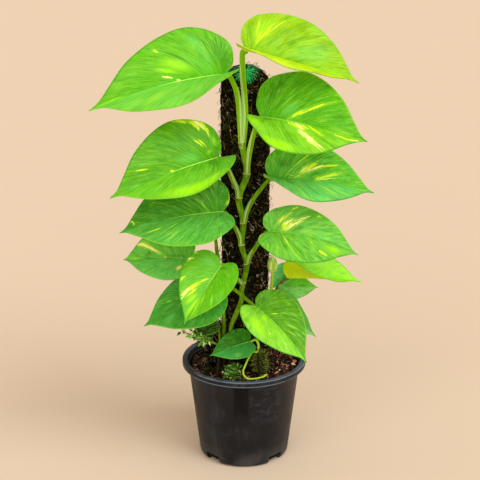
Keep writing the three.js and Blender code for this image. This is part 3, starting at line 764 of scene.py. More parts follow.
def leaf(name, blade, look, seed):
    """A blade with a thickness: its upper skin, its underside and the narrow wall along its margin."""
    length = blade_frame(blade)[1]
    rows, columns, waves = (132, 15, 17) if length > LARGE_LEAF else (72, 10, 11)
    width = 2 * columns + 1
    across = linspace(-1, 1, width)
    denser_at_rib = np.sign(across) * abs(across) ** 1.35
    a, b = np.meshgrid(arange(1, rows) / rows, denser_at_rib, indexing="ij")
    places, flat = blade_points(blade, a, b)
    points = vstack([[blade["base"]], places.reshape(-1, 3), [blade["tip"]]])
    a = concatenate([[0], a.ravel(), [1]])
    b = concatenate([[0], b.ravel(), [0]])
    flat = vstack([[0, 0], flat.reshape(-1, 2), [1, 0]])

    quads = grid_faces(rows - 1, width)[:, ::-1] + 1
    under = len(points)
    last = under - 1
    j = arange(width - 1)
    first_fan = stack([0 * j, 1 + j, 2 + j], 1)
    last_fan = stack([last - width + j, 0 * j + last, last - width + j + 1], 1)
    fans = vstack([first_fan, last_fan])
    row = arange(rows - 1)
    ring = concatenate([[0], 1 + width * row, [last], width * (row[::-1] + 1)])
    following = np.roll(ring, -1)
    walls = stack([ring, ring + under, following + under, following], 1)
    faces = [vstack([quads, quads[:, ::-1] + under, walls]), vstack([fans, fans[:, ::-1] + under])]
    lower = np.repeat([0, 1, 0, 0, 1], [len(f) for f in (quads, quads, walls, fans, fans)])

    size = length / USUAL_LEAF
    relief = size * blade_relief(a, b, seed, waves)
    rib_share = clip(1 - flat[:, 0], 0, 1)
    to_rib = flat[:, 1] * length
    groove = 0.55 * size * rib_share * bell(to_rib, 0, 1)
    rib = size * (0.5 + rib_share) * bell(to_rib, 0, 1 + 0.9 * rib_share)
    half = BLADE_THICKNESS * (0.21 + 0.29 * clip((1 - b**6) * (1 - a**10), 0, 1))
    normal = vertex_normals(points, [quads, fans])
    moves = relief + half - groove, relief - half - rib
    points = vstack([points + normal * move[:, None] for move in moves])
    uvs = {"vein": np.tile(stack([a, b], 1), (2, 1)), "blade": np.tile(flat, (2, 1))}
    skins = leaf_material(name, look, seed), underside_material(name + "_under", look, seed)
    obj = add_piece(name + "_fine", "leaf", name, points, faces, *skins, uvs=uvs, lower=lower)
    obj.data.set_sharp_from_angle(angle=math.radians(50))


# Stems and stalks
STEM_SIDES = 32
REDDISH = ("leaf_right_behind", "leaf_right_small")


def curve(points, steps):
    """Evenly spaced places on a smooth curve through the points, and its length."""
    p = array(points, float)
    p = vstack([2 * p[0] - p[1], p, 2 * p[-1] - p[-2]])
    t = linspace(0, 1, 24, endpoint=False)[:, None]
    dense = []
    for x0, x1, x2, x3 in zip(p, p[1:], p[2:], p[3:]):
        d0, d1, d2 = (max(np.linalg.norm(q - r), 1e-4) ** 0.5 for q, r in ((x0, x1), (x1, x2), (x2, x3)))
        t1 = ((x1 - x0) / d0 - (x2 - x0) / (d0 + d1) + (x2 - x1) / d1) * d1
        t2 = ((x2 - x1) / d1 - (x3 - x1) / (d1 + d2) + (x3 - x2) / d2) * d1
        dense.append(x1 + t1 * t + (3 * (x2 - x1) - 2 * t1 - t2) * t**2 + (2 * (x1 - x2) + t1 + t2) * t**3)
    dense = vstack([*dense, p[-2]])
    run = concatenate([[0], np.cumsum(np.linalg.norm(np.diff(dense, axis=0), axis=1))])
    at = linspace(0, run[-1], steps + 1)
    return stack([np.interp(at, run, places) for places in dense.T], 1), run[-1]


def tube_skin(paths, radii, first):
    """Points around paths (count, steps, 3), on spokes that start from a direction square to them."""
    second = np.cross(unit(np.gradient(paths, axis=1)), first)
    angle = ring_angles(radii.shape[-1])[:, None]
    spokes = first[:, :, None] * cos(angle) + second[:, :, None] * sin(angle)
    return (paths[:, :, None] + radii[..., None] * spokes).reshape(-1, 3)


def sweep(path, radius, toward):
    """Tube along a path, with closed ends; radius is (rings, sides), and side 0 faces the given direction."""
    rings, sides = radius.shape
    tangent = unit(np.gradient(path, axis=0))
    first = unit(toward - tangent * (tangent @ toward)[:, None])
    points = tube_skin(path[None], radius[None], first[None])
    end = len(points)
    ends = vstack([fan(0, sides, end)[:, ::-1], fan(end - sides, sides, end + 1)])
    return vstack([points, path[:1], path[-1:]]), grid_faces(rings, sides, closed=True), ends


def strands(name, slot, replaced, paths, radii, sides, material, shade):
    """One piece of many tubes: paths is (count, steps, 3), radii (count, steps) and shade (count)."""
    count, steps, _ = paths.shape
    aside = unit(chance.normal(size=(count, 1, 3)))
    first = unit(np.cross(unit(np.gradient(paths, axis=1)), aside))
    points = tube_skin(paths, np.repeat(radii[..., None], sides, -1), first)
    faces = [copies(grid_faces(steps, sides, closed=True), count, steps * sides)]
    fields = {"shade": np.repeat(shade, steps * sides)}
    add_piece(name, slot, replaced, points, faces, material, fields=fields)


def stem_material(name, base, light, deep, fresh, seed):
    """Green stem. Its fields say how far a place is turned from the sheath's middle, how far the sheath goes
    on above it, and where it is scarred, bruised or red, or darkened near its foot, partly with age and
    partly as painted shade. A painted highlight runs along the side turned well away from the sheath's
    middle."""
    s = Shader(name, base, 0.5, 0.07)
    shift = (seed, 2 * seed, 3 * seed)
    z, turn, sheath = s.axis("Z"), s.field("turn"), s.field("sheath")
    cloud = s.noise(260, 3, stretch=(1, 1, 0.35), shift=shift)
    lines = s.noise(1300, stretch=(1, 1, 0.05), shift=shift)
    ragged = s.noise(900, 3) - 0.5
    s.tint(cloud.between(0.4, 0.68), light)
    s.tint(lines.between(0.5, 0.3, 0.5), deep)
    s.tint(z.between(0.36, 0.43, 0.8), fresh)
    # Painted highlight: a bright side along the stem, turned well away from the sheath's middle.
    s.tint(turn.between(1.7, 2.5, 0.7), (206, 236, 60))
    inside = turn - sheath**0.45 * 1.55
    strip = inside.between(-0.05, -0.2) * lines.span(0.7, 1.1)
    # The sheath strip is its own pale green. From about 0.33 m up it is made paler still as painted light,
    # against the shade of the leaves overhead.
    s.tint(strip, s.mix(z.between(0.33, 0.42), (152, 198, 116), (200, 240, 146)))
    s.tint(inside.near(-0.12, 0.16, 0.05) * sheath.between(0, 0.1, 0.75), (220, 244, 160))
    s.tint((s.field("scar") + ragged * 0.5).between(0.35, 0.6, 0.8), (190, 206, 110))
    s.tint((s.field("bruise") + ragged * 0.7).between(0.3, 0.8, 0.5), (96, 72, 20))
    s.tint(s.field("red") * 0.85, (112, 62, 26))
    # Painted shade near the foot: the stems turn dark brown below about 0.23 m, partly their own older skin
    # and partly the shade under the leaves.
    aged_and_shaded = (z + cloud * 0.05).between(0.235, 0.165) * s.field("aged_and_shaded")
    s.tint(aged_and_shaded, s.mix(cloud, (20, 15, 8), (62, 48, 22)))
    return s.finish(lines, 0.25)


def stem_rings(name, stalk, nodes):
    """Path, radii and colour fields of a stem or stalk."""
    leafy = name in BLADES
    points = list(stalk["points"])
    steps = max(14, int(curve(points, 40)[1] / 0.9))
    if leafy:
        base, _, along, _, up = blade_frame(BLADES[name])
        drop = 0.95 * stalk["radius"][1] + BLADE_THICKNESS / 2 + GAP / 2 + stalk["drop"]
        points += [base + along * reach - up * drop for reach in (-2, 3)]
    path, length = curve(points, steps)
    share = linspace(0, 1, steps + 1)[:, None]
    low, high = stalk["radius"]
    turn = ring_angles(STEM_SIDES) + 0 * share
    turn = np.minimum(turn, TURN - turn)
    radius = low + (high - low) * share + 0 * turn
    flags = dict(turn=turn, sheath=0, scar=0, bruise=0, red=name in REDDISH, aged_and_shaded=name == "stem")
    fields = {key: value + 0 * turn for key, value in flags.items()}
    reach = stalk["sheath"]
    if reach:
        depth = clip((reach - share) / 0.05, 0, 1) * (1 - 0.5 * share / reach)
        wings = stalk["wings"] * bell(turn, 0.95, 0.25)
        radius = radius * (1 + depth * (wings - 0.16 * bell(turn, 0, 0.6)))
        fields["sheath"] += clip(1 - share / reach, 0, 1)
    elif leafy:
        radius = radius * (1 - 0.18 * bell(turn, 0, 0.5))
    if leafy:
        fields["bruise"] += bell(share * length, 3.5, 2.2)
    for node in nodes:
        above = path[:, 2:] - node
        radius = radius * (1 + 0.22 * bell(above, 0, 2.4) - 0.12 * bell(above, 0.6, 0.6))
        fields["scar"] = np.maximum(fields["scar"], bell(above, 0.7, 0.8))
        fields["bruise"] = np.maximum(fields["bruise"], bell(above, -1.2, 1.1))
    radius[0] *= 0.8
    radius[-1] *= 0.55
    return path, radius, fields


def vine(name, limbs, material):
    """A stem with its stalks, as one piece."""
    points, quads, tris, fields = [], [], [], {}
    offset = 0
    for limb_name, limb in limbs.items():
        path, radius, values = stem_rings(limb_name, limb, NODES.get(name, ()) if limb_name == "stem" else ())
        toward = array([0, -1, 0.2])
        if limb_name in BLADES:
            leans_left = BLADES[limb_name]["tip"][0] < BLADES[limb_name]["base"][0]
            toward = array([1 if leans_left else -1, -0.5, 0.3])
        skin, sides, ends = sweep(path, radius, toward)
        points.append(skin)
        quads.append(sides + offset)
        tris.append(ends + offset)
        offset += len(skin)
        for key, value in values.items():
            fields.setdefault(key, []).extend([*value.ravel(), 0, 0])
    fields = {key: array(values) for key, values in fields.items()}
    faces = [vstack(quads), vstack(tris)]
    add_piece(name + "_fine", "stem", name, vstack(points), faces, material, fields=fields)


def young_leaf():
    """The rolled leaf, a spindle whose edge laps once around it."""
    sides = 36
    radius, half = 5.9, 10.5
    share = linspace(0, 1, 41)
    along = 2 * share - 1
    path = array([33.5, -17, 250]) + stack([0 * share, 0.6 * sin(2 * share), half * along], 1)
    lap = 0.12 / TURN * ((ring_angles(sides) + 1.1 * share[:, None]) % TURN)
    radii = radius * np.sqrt(clip(1 - along**2, 0, 1))[:, None] * (0.94 + lap) + 0.05
    points, *faces = sweep(path, radii, array([0, -1, 0.1]))
    material = stem_material("young", (176, 216, 70), (240, 250, 176), (84, 160, 20), BRIGHT, 5)
    add_piece("leaf_young_fine", "leaf", "leaf_young", points, faces, material)


# Pole: its height goes on over the dome above the shoulder, for the length of the dome's run
DOME_RUN = 40
POLE_TOP = SHOULDER + DOME_RUN
SLEEVE_FOOT = SOIL_TOP - 8


def pole_surface(turn, rise, lift):
    """Places on the pole, lifted off it."""
    over = clip((rise - SHOULDER) / DOME_RUN, 0, 1) * pi / 2
    wall = POLE_LOW + (POLE_HIGH - POLE_LOW) * clip((rise - POLE_FOOT) / (SHOULDER - POLE_FOOT), 0, 1)
    steep = np.hypot(cos(over) / POLE_HIGH, sin(over) / DOME)
    r = cos(over) * (wall + lift / POLE_HIGH / steep)
    z = np.minimum(rise, SHOULDER) + sin(over) * (DOME + lift / DOME / steep)
    return stack([POLE_X + r * cos(turn), r * sin(turn), z], -1)


def coir_material():
    s = Shader("coir", (7, 7, 3), 0.95, 0.02)
    tufts = s.noise(300, 3, 0.7)
    fibres = s.noise(900, 3, 0.7, (1, 1, 0.5))
    s.tint(tufts.between(0.45, 0.68), (50, 44, 26))
    s.tint(fibres.between(0.54, 0.7, 0.8), (96, 88, 56))
    s.tint(s.noise(60, 3, 0.6).between(0.48, 0.62, 0.7), (7, 7, 3))
    return s.finish(tufts + fibres, 2)


def fibre_material():
    s = Shader("coir_fibre", (6, 5, 2), 0.75, 0.08)
    shade = s.field("shade")
    s.tint(shade.between(0.3, 0.7), (70, 58, 34))
    s.tint(shade.between(0.72, 0.88), (158, 134, 96))
    s.tint(shade.between(0.88, 0.97), (226, 210, 182))
    s.tint(s.noise(60).between(0.5, 0.6), s.mix(shade, (18, 22, 4), (112, 120, 50)))
    return s.finish()


def pole():
    """The sleeve's rough skin, and below the soil its plain foot and the bore for the stake."""
    rows, sides = 260, 150
    levels = linspace(SLEEVE_FOOT, POLE_TOP - 0.1, rows)
    rise, turn = np.meshgrid(levels, ring_angles(sides), indexing="ij")
    x, y, z = np.moveaxis(pole_surface(turn, rise, 0), -1, 0)
    lift = 0.5 * bumps(x, y, 0.4 * z) + 0.3 * bumps(2.9 * x, 2.9 * y, 1.6 * z)
    lift = (lift + chance.normal(0, 0.16, x.shape)) * clip((z - SOIL_TOP) / 8, 0, 1)
    skin = pole_surface(turn, rise, lift).reshape(-1, 3)
    end = len(skin)
    bore = STAKE_RADIUS + GAP
    inside = [(POLE_LOW + 0.28, SLEEVE_FOOT), (POLE_LOW, POLE_FOOT), (bore, POLE_FOOT)]
    inside += [(bore, STAKE_TOP + GAP), (0.05, STAKE_TOP + GAP)]
    points = vstack([skin, [pole_surface(0, POLE_TOP, 0)], rings_of(inside, sides, POLE_X)])
    lining = grid_faces(len(inside), sides, closed=True)[:, ::-1] + end + 1
    faces = [vstack([grid_faces(rows, sides, closed=True), lining]), fan(end - sides, sides, end)]
    add_piece("pole_coir_fine", "coir", "pole_coir", points, faces, coir_material())


def fibres(name, count, loose, material):
    """Curly fibres over the pole; loose ones stand off it."""
    t = linspace(0, 1, 8)[None]
    rise = draw(count, SOIL_TOP - 4, POLE_TOP - 2)
    turn = draw(count, 0, TURN)
    length = draw(count, 2, 8) * (t - 0.5)
    heading = draw(count, 0, TURN)
    curl = draw(count, 0.4, 1.8) * (1 + loose)
    wave = draw(count, 0.5, 1.5) * TURN * t
    start = draw(count, 0, TURN)
    across = length * cos(heading) + curl * sin(wave + start)
    upward = length * sin(heading) + curl * cos(wave + 1.3 * start)
    lift = draw(count, 0.1, 0.7) + 0.4 * sin(5 * t + start)
    lift = lift + loose * draw(count, 0.2, 1) ** 2 * 6.5 * sin(pi * t)
    rise = clip(rise + upward, SOIL_TOP - 2, POLE_TOP - 0.5)
    around = POLE_HIGH * cos(clip((rise - SHOULDER) / DOME_RUN, 0, 0.9) * pi / 2)
    paths = pole_surface(turn + across / around, rise, lift)
    radii = draw(count, 0.16, 0.55 - 0.27 * loose) * (1 - 0.75 * abs(2 * t - 1) ** 3)
    shade = chance.uniform(0, 1, count) ** (1.3 - 0.5 * loose)
    strands(name, "coir", None, paths, radii, 3, material, shade)


def net_material():
    s = Shader("net", (0, 78, 54), 0.5, 0.3)
    shade = s.field("shade")
    s.tint(shade, (0, 255, 150))
    # Painted highlights: pale spots on the brighter strands.
    s.tint(s.noise(500).between(0.5, 0.7) * shade, (150, 255, 206))
    return s.finish(s.noise(2200), 0.2)


def net():
    """Green twine: a few strands over the dome, and a bright tuft and its knot on the dome's front."""
    material = net_material()
    count, tuft, loops = 80, 190, 26
    twine = 0.55
    t = linspace(0, 1, 9)[None]
    turn = draw(count, 0, TURN) + 0.7 * draw(count, -1, 1) * t
    rise = POLE_TOP - 0.1 - draw(count, 0.5, 9) - draw(count, 4, 20) * t
    arch = draw(count, 0.2, 1) * sin(pi * clip(t + 0.25, 0, 1))
    over = pole_surface(turn, rise, 1 + 1.6 * arch + 0.4 * sin(6 * t + draw(count, 0, 6)))

    heading = draw(tuft, 0, TURN)
    reach = draw(tuft, 3, 14) * (0.15 + t)
    drop = 15 + reach * sin(heading)
    around = POLE_HIGH * sin(pi / 2 * clip(drop, 3, DOME_RUN) / DOME_RUN)
    turn = reach * cos(heading) / around - pi / 2
    arch = draw(tuft, 0.1, 1) * sin(pi * clip(0.35 + 0.65 * t, 0, 1))
    lift = 1.4 + 3.2 * arch + 0.5 * sin(7 * t + draw(tuft, 0, 6))
    front = pole_surface(turn, POLE_TOP - clip(drop, 0.5, DOME_RUN), lift)
    shade = concatenate([chance.uniform(0, 0.3, count), chance.uniform(0.45, 1, tuft)])
    paths = concatenate([over, front])
    radii = np.full((count + tuft, 1), twine) * (1 - 0.45 * t)
    strands("net_strands", "net", "pole_net", paths, radii, 5, material, shade)

    angle = linspace(0, TURN, 18)[None]
    radius = draw(loops, 1.2, 3.6)
    x = radius * cos(angle) + draw(loops, -0.8, 0.8)
    y = draw(loops, -0.6, 0.6) * x * 0.6 + draw(loops, -0.8, 1) + 0.3 * sin(3 * angle)
    z = radius * sin(angle) * draw(loops, 0.5, 1) + draw(loops, -0.8, 0.8)
    paths = pole_surface(-pi / 2, POLE_TOP - 15, 2.6) + stack([x, y, z], -1)
    shade = chance.uniform(0.6, 1, loops)
    strands("net_knot", "net", None, paths, np.full(x.shape, twine), 5, material, shade)


def stake_look():
    s = Shader("stake", (168, 126, 82), 0.7, 0.2)
    rings = s.noise(260, 3, stretch=(1, 1, 0.06))
    s.tint(rings, (206, 166, 116))
    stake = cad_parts["pole_stake"].data
    stake.materials.clear()
    stake.materials.append(s.finish(rings, 0.3))


# Soil and moss


def wall_at(z):
    """Outer radius of the pot's wall at a height."""
    return FOOT_RADIUS + (NECK_RADIUS - FOOT_RADIUS) / LIP_FOOT * z


def soil_height(x, y):
    return SOIL_TOP + SOIL_RISE * bell(np.hypot(x - POLE_X, y), 0, 42) + bumps(x, y, 0.5 * (x + y))


def soil_material():
    s = Shader("soil", (7, 4, 2), 0.95, 0.15)
    grain = s.noise(480, 4, 0.7)
    s.tint(grain.between(0.4, 0.7), (44, 28, 18))
    s.tint(s.noise(110, 3).between(0.5, 0.7, 0.5), (8, 5, 3))
    return s.finish(grain, 2)


def crumb_material():
    s = Shader("crumbs", (14, 8, 4), 0.9, 0.2)
    grain, shade = s.noise(900, 3), s.field("shade")
    s.tint(shade.between(0.1, 0.75), (112, 68, 44))
    s.tint(shade.between(0.72, 0.86), (176, 122, 88))
    s.tint(shade.between(0.93, 0.98), (240, 206, 180))
    s.tint(grain.between(0.5, 0.7, 0.5), (30, 18, 10))
    # Painted shade: crumbs on the left are darkened where the leaves shade the soil.
    s.tint(s.axis("X").between(-0.015, -0.05, 0.55), (16, 12, 8))
    return s.finish(grain, 0.4)


def soil():
    """Rough top with a level edge at the wall, and the sides and foot inside the pot."""
    rings, sides = 70, 150
    inset = POT_WALL + GAP
    turn = ring_angles(sides)
    points = []
    for share in arange(1, rings + 1) / rings:
        r = share * (wall_at(SOIL_EDGE) - inset)
        x, y = r * cos(turn), r * sin(turn)
        z = soil_height(x, y) + 0.7 * bumps(3.1 * x, 3.1 * y, 1.7 * x) + chance.normal(0, 0.25, sides)
        edge = clip((share - 0.86) / 0.14, 0, 1)
        points.append(stack([x, y, z * (1 - edge) + SOIL_EDGE * edge], 1))
    foot = [(wall_at(CORNER_HEIGHT) - inset, CORNER_HEIGHT + GAP), (CONTACT_RADIUS - 1, POT_FLOOR + GAP)]
    points = vstack([*points, rings_of(foot, sides), [[0, 0, SOIL_TOP], [0, 0, POT_FLOOR + GAP]]])
    end = len(points) - 2
    ends = vstack([fan(0, sides, end), fan(end - sides, sides, end + 1)[:, ::-1]])
    faces = [grid_faces(rings + len(foot), sides, closed=True)[:, ::-1], ends]
    add_piece("soil_fine", "soil", "soil", points, faces, soil_material())


def crumbs(name, count, size_low, size_high, material):
    """Angular crumbs and bark chips strewn over the soil, each with six corners."""
    corners = array([(1, 0, 0), (-1, 0, 0), (0, 1, 0), (0, -1, 0), (0, 0, 1), (0, 0, -1)])
    tris = array([(0, 2, 4), (2, 1, 4), (1, 3, 4), (3, 0, 4), (2, 0, 5), (1, 2, 5), (3, 1, 5), (0, 3, 5)])
    reach = wall_at(SOIL_EDGE) - POT_WALL - 3
    r = np.sqrt(draw(count, (POLE_LOW + 1) ** 2, reach**2))
    angle = draw(count, 0, TURN)
    x, y = POLE_X * (1 - r / reach) + r * cos(angle), r * sin(angle)
    size = draw(count, size_low, size_high) * array([1, 0.75, 0.5]) * chance.uniform(0.7, 1.4, (count, 3))
    turn = draw(count, 0, TURN)
    lean = clip(chance.normal(0, 0.5, (count, 1)), -1, 1)
    shape = corners * size[:, None] * chance.uniform(0.7, 1.25, (count, 6, 1))
    long, wide, high = np.moveaxis(shape, -1, 0)
    x, y, z = (
        x + long * cos(turn) - wide * sin(turn),
        y + long * sin(turn) + wide * cos(turn),
        soil_height(x, y) + 0.3 + 0.3 * size[:, 2:] + high + long * np.tan(lean),
    )
    fields = {"shade": np.repeat(chance.uniform(0, 1, count) ** 1.5, 6)}
    points = stack([x, y, z], -1).reshape(-1, 3)
    add_piece(name, "soil", None, points, [copies(tris, count, 6)], material, fields=fields, flat=True)


def tuft_material(name, dark, middle, light, lightest, roughness, specular):
    """Hairs or tiny leaves from dark to middle by their shade, and light above a shade."""
    s = Shader(name, dark, roughness, specular)
    shade = s.field("shade")
    s.tint(shade, middle)
    s.tint(shade.between(lightest, lightest + 0.2), light)
    return s.finish()


def moss_body_material():
    s = Shader("moss_body", (14, 16, 5), 0.95, 0.1)
    grain = s.noise(900, 3, 0.7)
    s.tint(grain.between(0.35, 0.7), (60, 66, 22))
    return s.finish(grain, 1)


def moss(name, count, body, hairs):
    """A lumpy cushion that is open below the soil, and the hairs all over it."""
    centre, radii = array(MOSS[name])
    rows, sides = 20, 32
    levels = linspace(-0.86, pi / 2 - 0.02, rows)
    rise, turn = np.meshgrid(levels, ring_angles(sides), indexing="ij")
    ball = stack([cos(rise) * cos(turn), cos(rise) * sin(turn), sin(rise)], -1)
    ball *= 1 + 0.07 * bumps(*(9 * np.moveaxis(ball, -1, 0)))[..., None]
    points = (centre + ball * radii).reshape(-1, 3)
    add_piece(name + "_fine", "moss", name, points, [grid_faces(rows, sides, closed=True)], body)

    t = linspace(0, 1, 5)[None, :, None]
    out = unit(chance.normal(size=(count, 3)))
    out[:, 2] = np.where(out[:, 2] < -0.6, -out[:, 2], out[:, 2])
    heading = unit(out / radii * radii.mean() + chance.normal(0, 0.9, (count, 3)) + array([0, 0, 0.5]))
    heading = heading[:, None]
    length = draw(count, 1.2, 4.8)[..., None]
    root = (centre + out * radii)[:, None] - 0.4 * heading
    paths = root + (heading * t + scatter(count, 0.5) * t**2) * length
    hair_radii = draw(count, 0.14, 0.3) * (1 - 0.8 * t[..., 0] ** 2)
    strands(name + "_hairs", "moss", None, paths, hair_radii, 3, hairs, chance.uniform(0, 1, count) ** 1.2)


def leaflets(name, slot, places, headings, lengths, material, shade):
    """Tiny pointed leaves, each a folded sheet of four triangles a side, with a thickness."""
    count = len(places)
    along = unit(headings)
    across = unit(np.cross(along, unit(chance.normal(size=(count, 3)) + array([0, 0, 1.5]))))
    up = np.cross(across, along)
    shape = array([(0, 0, 0), (0.4, 0.26, 0.1), (1, 0, 0.1), (0.4, -0.26, 0.1), (0.45, 0, -0.05)])
    top = array([(0, 4, 1), (4, 2, 1), (0, 3, 4), (3, 2, 4)])
    rim = ((0, 1), (1, 2), (2, 3), (3, 0))
    sheet = places[:, None] + shape @ (stack([along, across, up], 1) * lengths[:, None, None])
    half = 0.12 * up[:, None]
    points = concatenate([sheet + half, sheet - half], 1).reshape(-1, 3)
    walls = [t for i, j in rim for t in ((i, j, j + 5), (i, j + 5, i + 5))]
    faces = [copies(vstack([top[:, ::-1], top + 5, walls]), count, 10)]
    add_piece(name, slot, None, points, faces, material, fields={"shade": np.repeat(shade, 10)}, flat=True)


def cushion_leaflets(material):
    """Tiny leaves all over the left cushion."""
    count = 230
    centre, radii = array(MOSS["moss_left"])
    out = unit(chance.normal(size=(count, 3)) + array([-0.5, -0.4, 0.6]))
    places = centre + array([-1, 0, 4]) + out * radii * draw(count, 0.8, 1.6)
    headings = out + chance.normal(0, 1.2, (count, 3))
    lengths = chance.uniform(1.8, 5.4, count)
    shade = chance.uniform(0, 1, count) ** 1.5
    leaflets("moss_left_leaflets", "moss", places, headings, lengths, material, shade)


def sprigs(stems, leaves):
    """Thin shoots with small leaves that go on from the bare twig at the left."""
    count, steps, many = 12, 12, 90
    t = linspace(0, 1, steps)[None, :, None]
    twig = curve(VINES["shoot_left"]["twig"]["points"], 60)[0]
    root = twig[chance.integers(20, 61, count)][:, None]
    tip = array([-64, -52, 176]) + scatter(count, 1) * array([9, 6, 6])
    wave = scatter(count, 1.6) * sin(TURN * t) + scatter(count, 2.5) * sin(pi * t)
    paths = root * (1 - t) + tip * t + wave
    radii = draw(count, 0.25, 0.5) * (1 - 0.5 * t[..., 0])
    strands("twig_shoots", "stem", None, paths, radii, 5, stems, chance.uniform(0.4, 1, count))
    places = paths[chance.integers(0, count, many), chance.integers(2, steps, many)]
    places = places + chance.normal(0, 0.8, (many, 3))
    headings = chance.normal(0, 1, (many, 3)) + array([-0.4, -0.3, 0.1])
    lengths = chance.uniform(3, 7.5, many)
    leaflets("twig_leaflets", "stem", places, headings, lengths, leaves, chance.uniform(0.1, 0.95, many))


def tangle(material):
    """Dark, curly rootlets between the pole's foot and the left shoot."""
    count = 1500
    t = linspace(0, 1, 10)[None, :, None]
    middle = array([-32, -24, 0]) + scatter(count, 1) * array([7, 6, 0])
    middle[..., 2] = draw(count, SOIL_TOP + 2, 178)
    reach = scatter(count, 5) * (t - 0.5)
    curl = scatter(count, 1.5) * sin(TURN * t * draw(count, 0.6, 1.4)[..., None])
    paths = middle + reach + curl + scatter(count, 1.6) * cos(pi * t)
    radii = draw(count, 0.2, 0.6) * (1 - 0.5 * t[..., 0])
    strands("rootlets", "coir", None, paths, radii, 3, material, chance.uniform(0, 1, count) ** 2)


# Pot


def pot_material():
    """Black plastic with dust and scuffs, bluish smears that are partly a painted reflection, a dark strip
    painted where the lamps' reflections leave a gap, and painted highlights on the lip's edges.
    """
    s = Shader("pot", (14, 15, 20), 0.42, 0.2)
    x, y, z = (s.axis(name) for name in "XYZ")
    fine = s.noise(520, 3, 0.65)
    cloud = s.noise(34, 4, 0.6)
    drips = s.noise(150, 3, 0.6, (1, 1, 0.12))
    smears_and_reflection = s.noise(150, 4, 0.7, (0.45, 0.45, 1))
    scratches = s.noise(210, 4, 0.75, (1, 1, 0.35))
    dust = cloud.between(0.42, 0.72) * drips.between(0.35, 0.7)
    s.tint(fine * 0.5, (24, 26, 32))
    s.tint(dust * 0.45, (70, 70, 74))
    # Bluish smears on the right of the front: partly scuffs, partly a painted reflection of the lamps.
    upper_right = x.near(0.026, 0.024, 0.01) * z.between(0.04, 0.08)
    s.tint(upper_right * smears_and_reflection.between(0.45, 0.65, 0.28), (66, 74, 90))
    s.tint(scratches.between(0.66, 0.72, 0.4), (110, 110, 110))
    s.tint(z.between(0.03, 0.004) * cloud.between(0.3, 0.6, 0.5), (78, 76, 76))
    # Painted shade: a near-black, rougher strip down the front, standing in for the gap between the lamps'
    # reflections.
    above_edge = (z + drips * 0.02).between(0.074, 0.092)
    painted_reflection_gap = x.near(-0.0035, 0.011, 0.007) * above_edge * y.between(-0.04, -0.06) * z.between(0.1165, 0.1155)
    s.tint(painted_reflection_gap * 0.9, (0, 0, 3))
    # Painted highlights: bluish lines along the lip's top and lower edges.
    edges = z.near(0.1228, 0.0009, 0.0003).apply("MAXIMUM", z.near(0.1174, 0.0009, 0.0003))
    s.tint(edges * cloud.between(0.35, 0.55, 0.65), (122, 140, 160))
    return s.finish(fine + drips * 0.8, 0.12, dust * 0.35 + 0.4 + painted_reflection_gap * 0.3)


def arc(centre, across, up, start, end, count):
    """Points of a profile along an arc, between two angles in degrees."""
    turns = np.radians(linspace(start, end, count))
    return [(centre[0] + across * cos(turn), centre[1] + up * sin(turn)) for turn in turns]


def pot():
    sides = 160
    lip_round, edge, worn_edge = 1.1, 0.3, 0.6
    band_inside = RIM_RADIUS - POT_WALL
    under_lip = POT_HEIGHT - POT_WALL
    corner = wall_at(CORNER_HEIGHT)
    profile = [
        (0.01, 0),
        *arc((CONTACT_RADIUS, CORNER_HEIGHT), corner - CONTACT_RADIUS, CORNER_HEIGHT, -90, 0, 7),
        *((wall_at(z), z) for z in (30, 60, 90, LIP_FOOT)),
        (MOUTH_RADIUS + POT_WALL, under_lip), (band_inside, under_lip), (band_inside, LIP_FOOT + edge),
        (band_inside + edge, LIP_FOOT), (RIM_RADIUS - edge, LIP_FOOT), (RIM_RADIUS, LIP_FOOT + 0.4),
        *arc((RIM_RADIUS - lip_round, POT_HEIGHT - lip_round), lip_round, lip_round, 0, 90, 5),
        (MOUTH_RADIUS + worn_edge, POT_HEIGHT), (MOUTH_RADIUS, POT_HEIGHT - worn_edge),
        (NECK_RADIUS - POT_WALL, LIP_FOOT), (corner - POT_WALL, CORNER_HEIGHT), (CONTACT_RADIUS, POT_FLOOR),
        (0.01, POT_FLOOR),
    ]
    faces = [grid_faces(len(profile), sides, closed=True)]
    obj = add_piece("pot_fine", "pot", "pot", rings_of(profile, sides), faces, pot_material())
    depth, below = 30, 0.1
    middle = NOTCH["inner"] + depth / 2
    for turn in np.radians(NOTCH["turn"] + arange(0, 360, 90)):
        place = Vector((middle * cos(turn), middle * sin(turn), NOTCH["height"] / 2 - below)) * MM
        bpy.ops.mesh.primitive_cube_add(size=1, location=place)
        cutter = bpy.context.active_object
        cutter.scale = Vector((depth, NOTCH["width"], NOTCH["height"] + below)) * MM
        cutter.rotation_euler = (0, 0, turn)
        cut = obj.modifiers.new("notch", "BOOLEAN")
        cut.operation = "DIFFERENCE"
        cut.object = cutter
        bpy.context.view_layer.objects.active = obj
        bpy.ops.object.modifier_apply(modifier=cut.name)
        bpy.data.objects.remove(cutter)
    obj.data.set_sharp_from_angle(angle=math.radians(38))


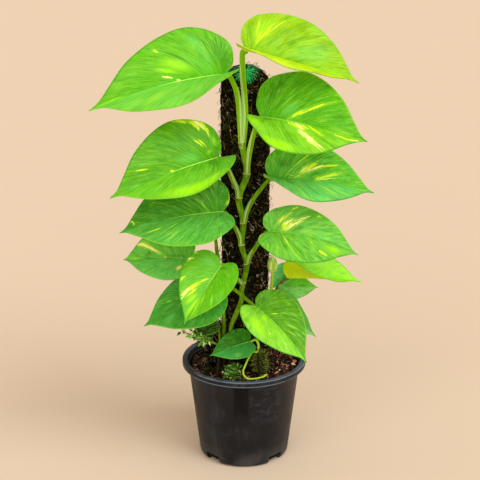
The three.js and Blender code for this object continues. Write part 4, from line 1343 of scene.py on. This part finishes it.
# Pieces
for seed, (name, plan) in enumerate(BLADES.items(), 1):
    leaf(name, plan, LOOKS[name], seed)
BRIGHT = (200, 236, 70)
STEM = stem_material("stem", (90, 140, 2), (130, 178, 20), (54, 98, 2), (136, 202, 0), 3)
RUNNER = stem_material("runner", (176, 224, 56), BRIGHT, (110, 160, 24), BRIGHT, 4)
for name, limbs in VINES.items():
    vine(name, limbs, RUNNER if name in ("shoot_front", "vine_right") else STEM)
young_leaf()
pole()
FIBRE = fibre_material()
fibres("coir_close", 4000, 0, FIBRE)
fibres("coir_loose", 1300, 1, FIBRE)
net()
soil()
CRUMB = crumb_material()
crumbs("soil_crumbs", 3000, 0.6, 1.8, CRUMB)
crumbs("soil_chips", 520, 1.8, 3.6, CRUMB)
MOSS_BODY = moss_body_material()
MOSS_HAIR = tuft_material("moss", (20, 30, 4), (150, 170, 50), (216, 230, 116), 0.7, 0.85, 0.2)
LEAFLET = tuft_material("leaflets", (14, 62, 20), (136, 220, 70), (226, 246, 170), 0.75, 0.5, 0.15)
moss("moss_front", 1500, MOSS_BODY, MOSS_HAIR)
moss("moss_left", 700, MOSS_BODY, MOSS_HAIR)
cushion_leaflets(LEAFLET)
sprigs(MOSS_HAIR, LEAFLET)
tangle(FIBRE)
pot()
stake_look()

# Floor
bpy.ops.mesh.primitive_plane_add(size=60)
floor = bpy.context.active_object
floor.name = "floor"
floor.data.materials.append(Shader("floor", (226, 206, 184), 0.9, 0).finish())

# Light and camera, in metres
scene = bpy.context.scene
scene.view_settings.view_transform = "Standard"
world = bpy.data.worlds.new("world")
world.use_nodes = True
sky = world.node_tree.nodes["Background"]
sky.inputs["Color"].default_value = paint(255, 234, 208)
sky.inputs["Strength"].default_value = 0.6
scene.world = world


def look_along(obj, direction):
    obj.rotation_euler = Vector(direction).to_track_quat("-Z", "Y").to_euler()
    scene.collection.objects.link(obj)


def sun(name, direction, spread, power, color):
    lamp = bpy.data.lights.new(name, "SUN")
    lamp.angle = math.radians(spread)
    lamp.energy = power
    lamp.color = color
    look_along(bpy.data.objects.new(name, lamp), direction)


sun("key", (-0.75, 0.75, -1.1), 38, 1.6, (0.94, 0.99, 1))
sun("fill", (0.25, 1, -0.6), 60, 1.2, (0.97, 1, 1))

VIEW_X = -0.004875
camera = bpy.data.cameras.new("camera")
camera.lens = 126.3
camera.sensor_width = 36
camera_object = bpy.data.objects.new("camera", camera)
camera_object.location = (VIEW_X, -1.8762, 0.9681)
look_along(camera_object, Vector((VIEW_X, 0, 0.27533)) - camera_object.location)
scene.camera = camera_object
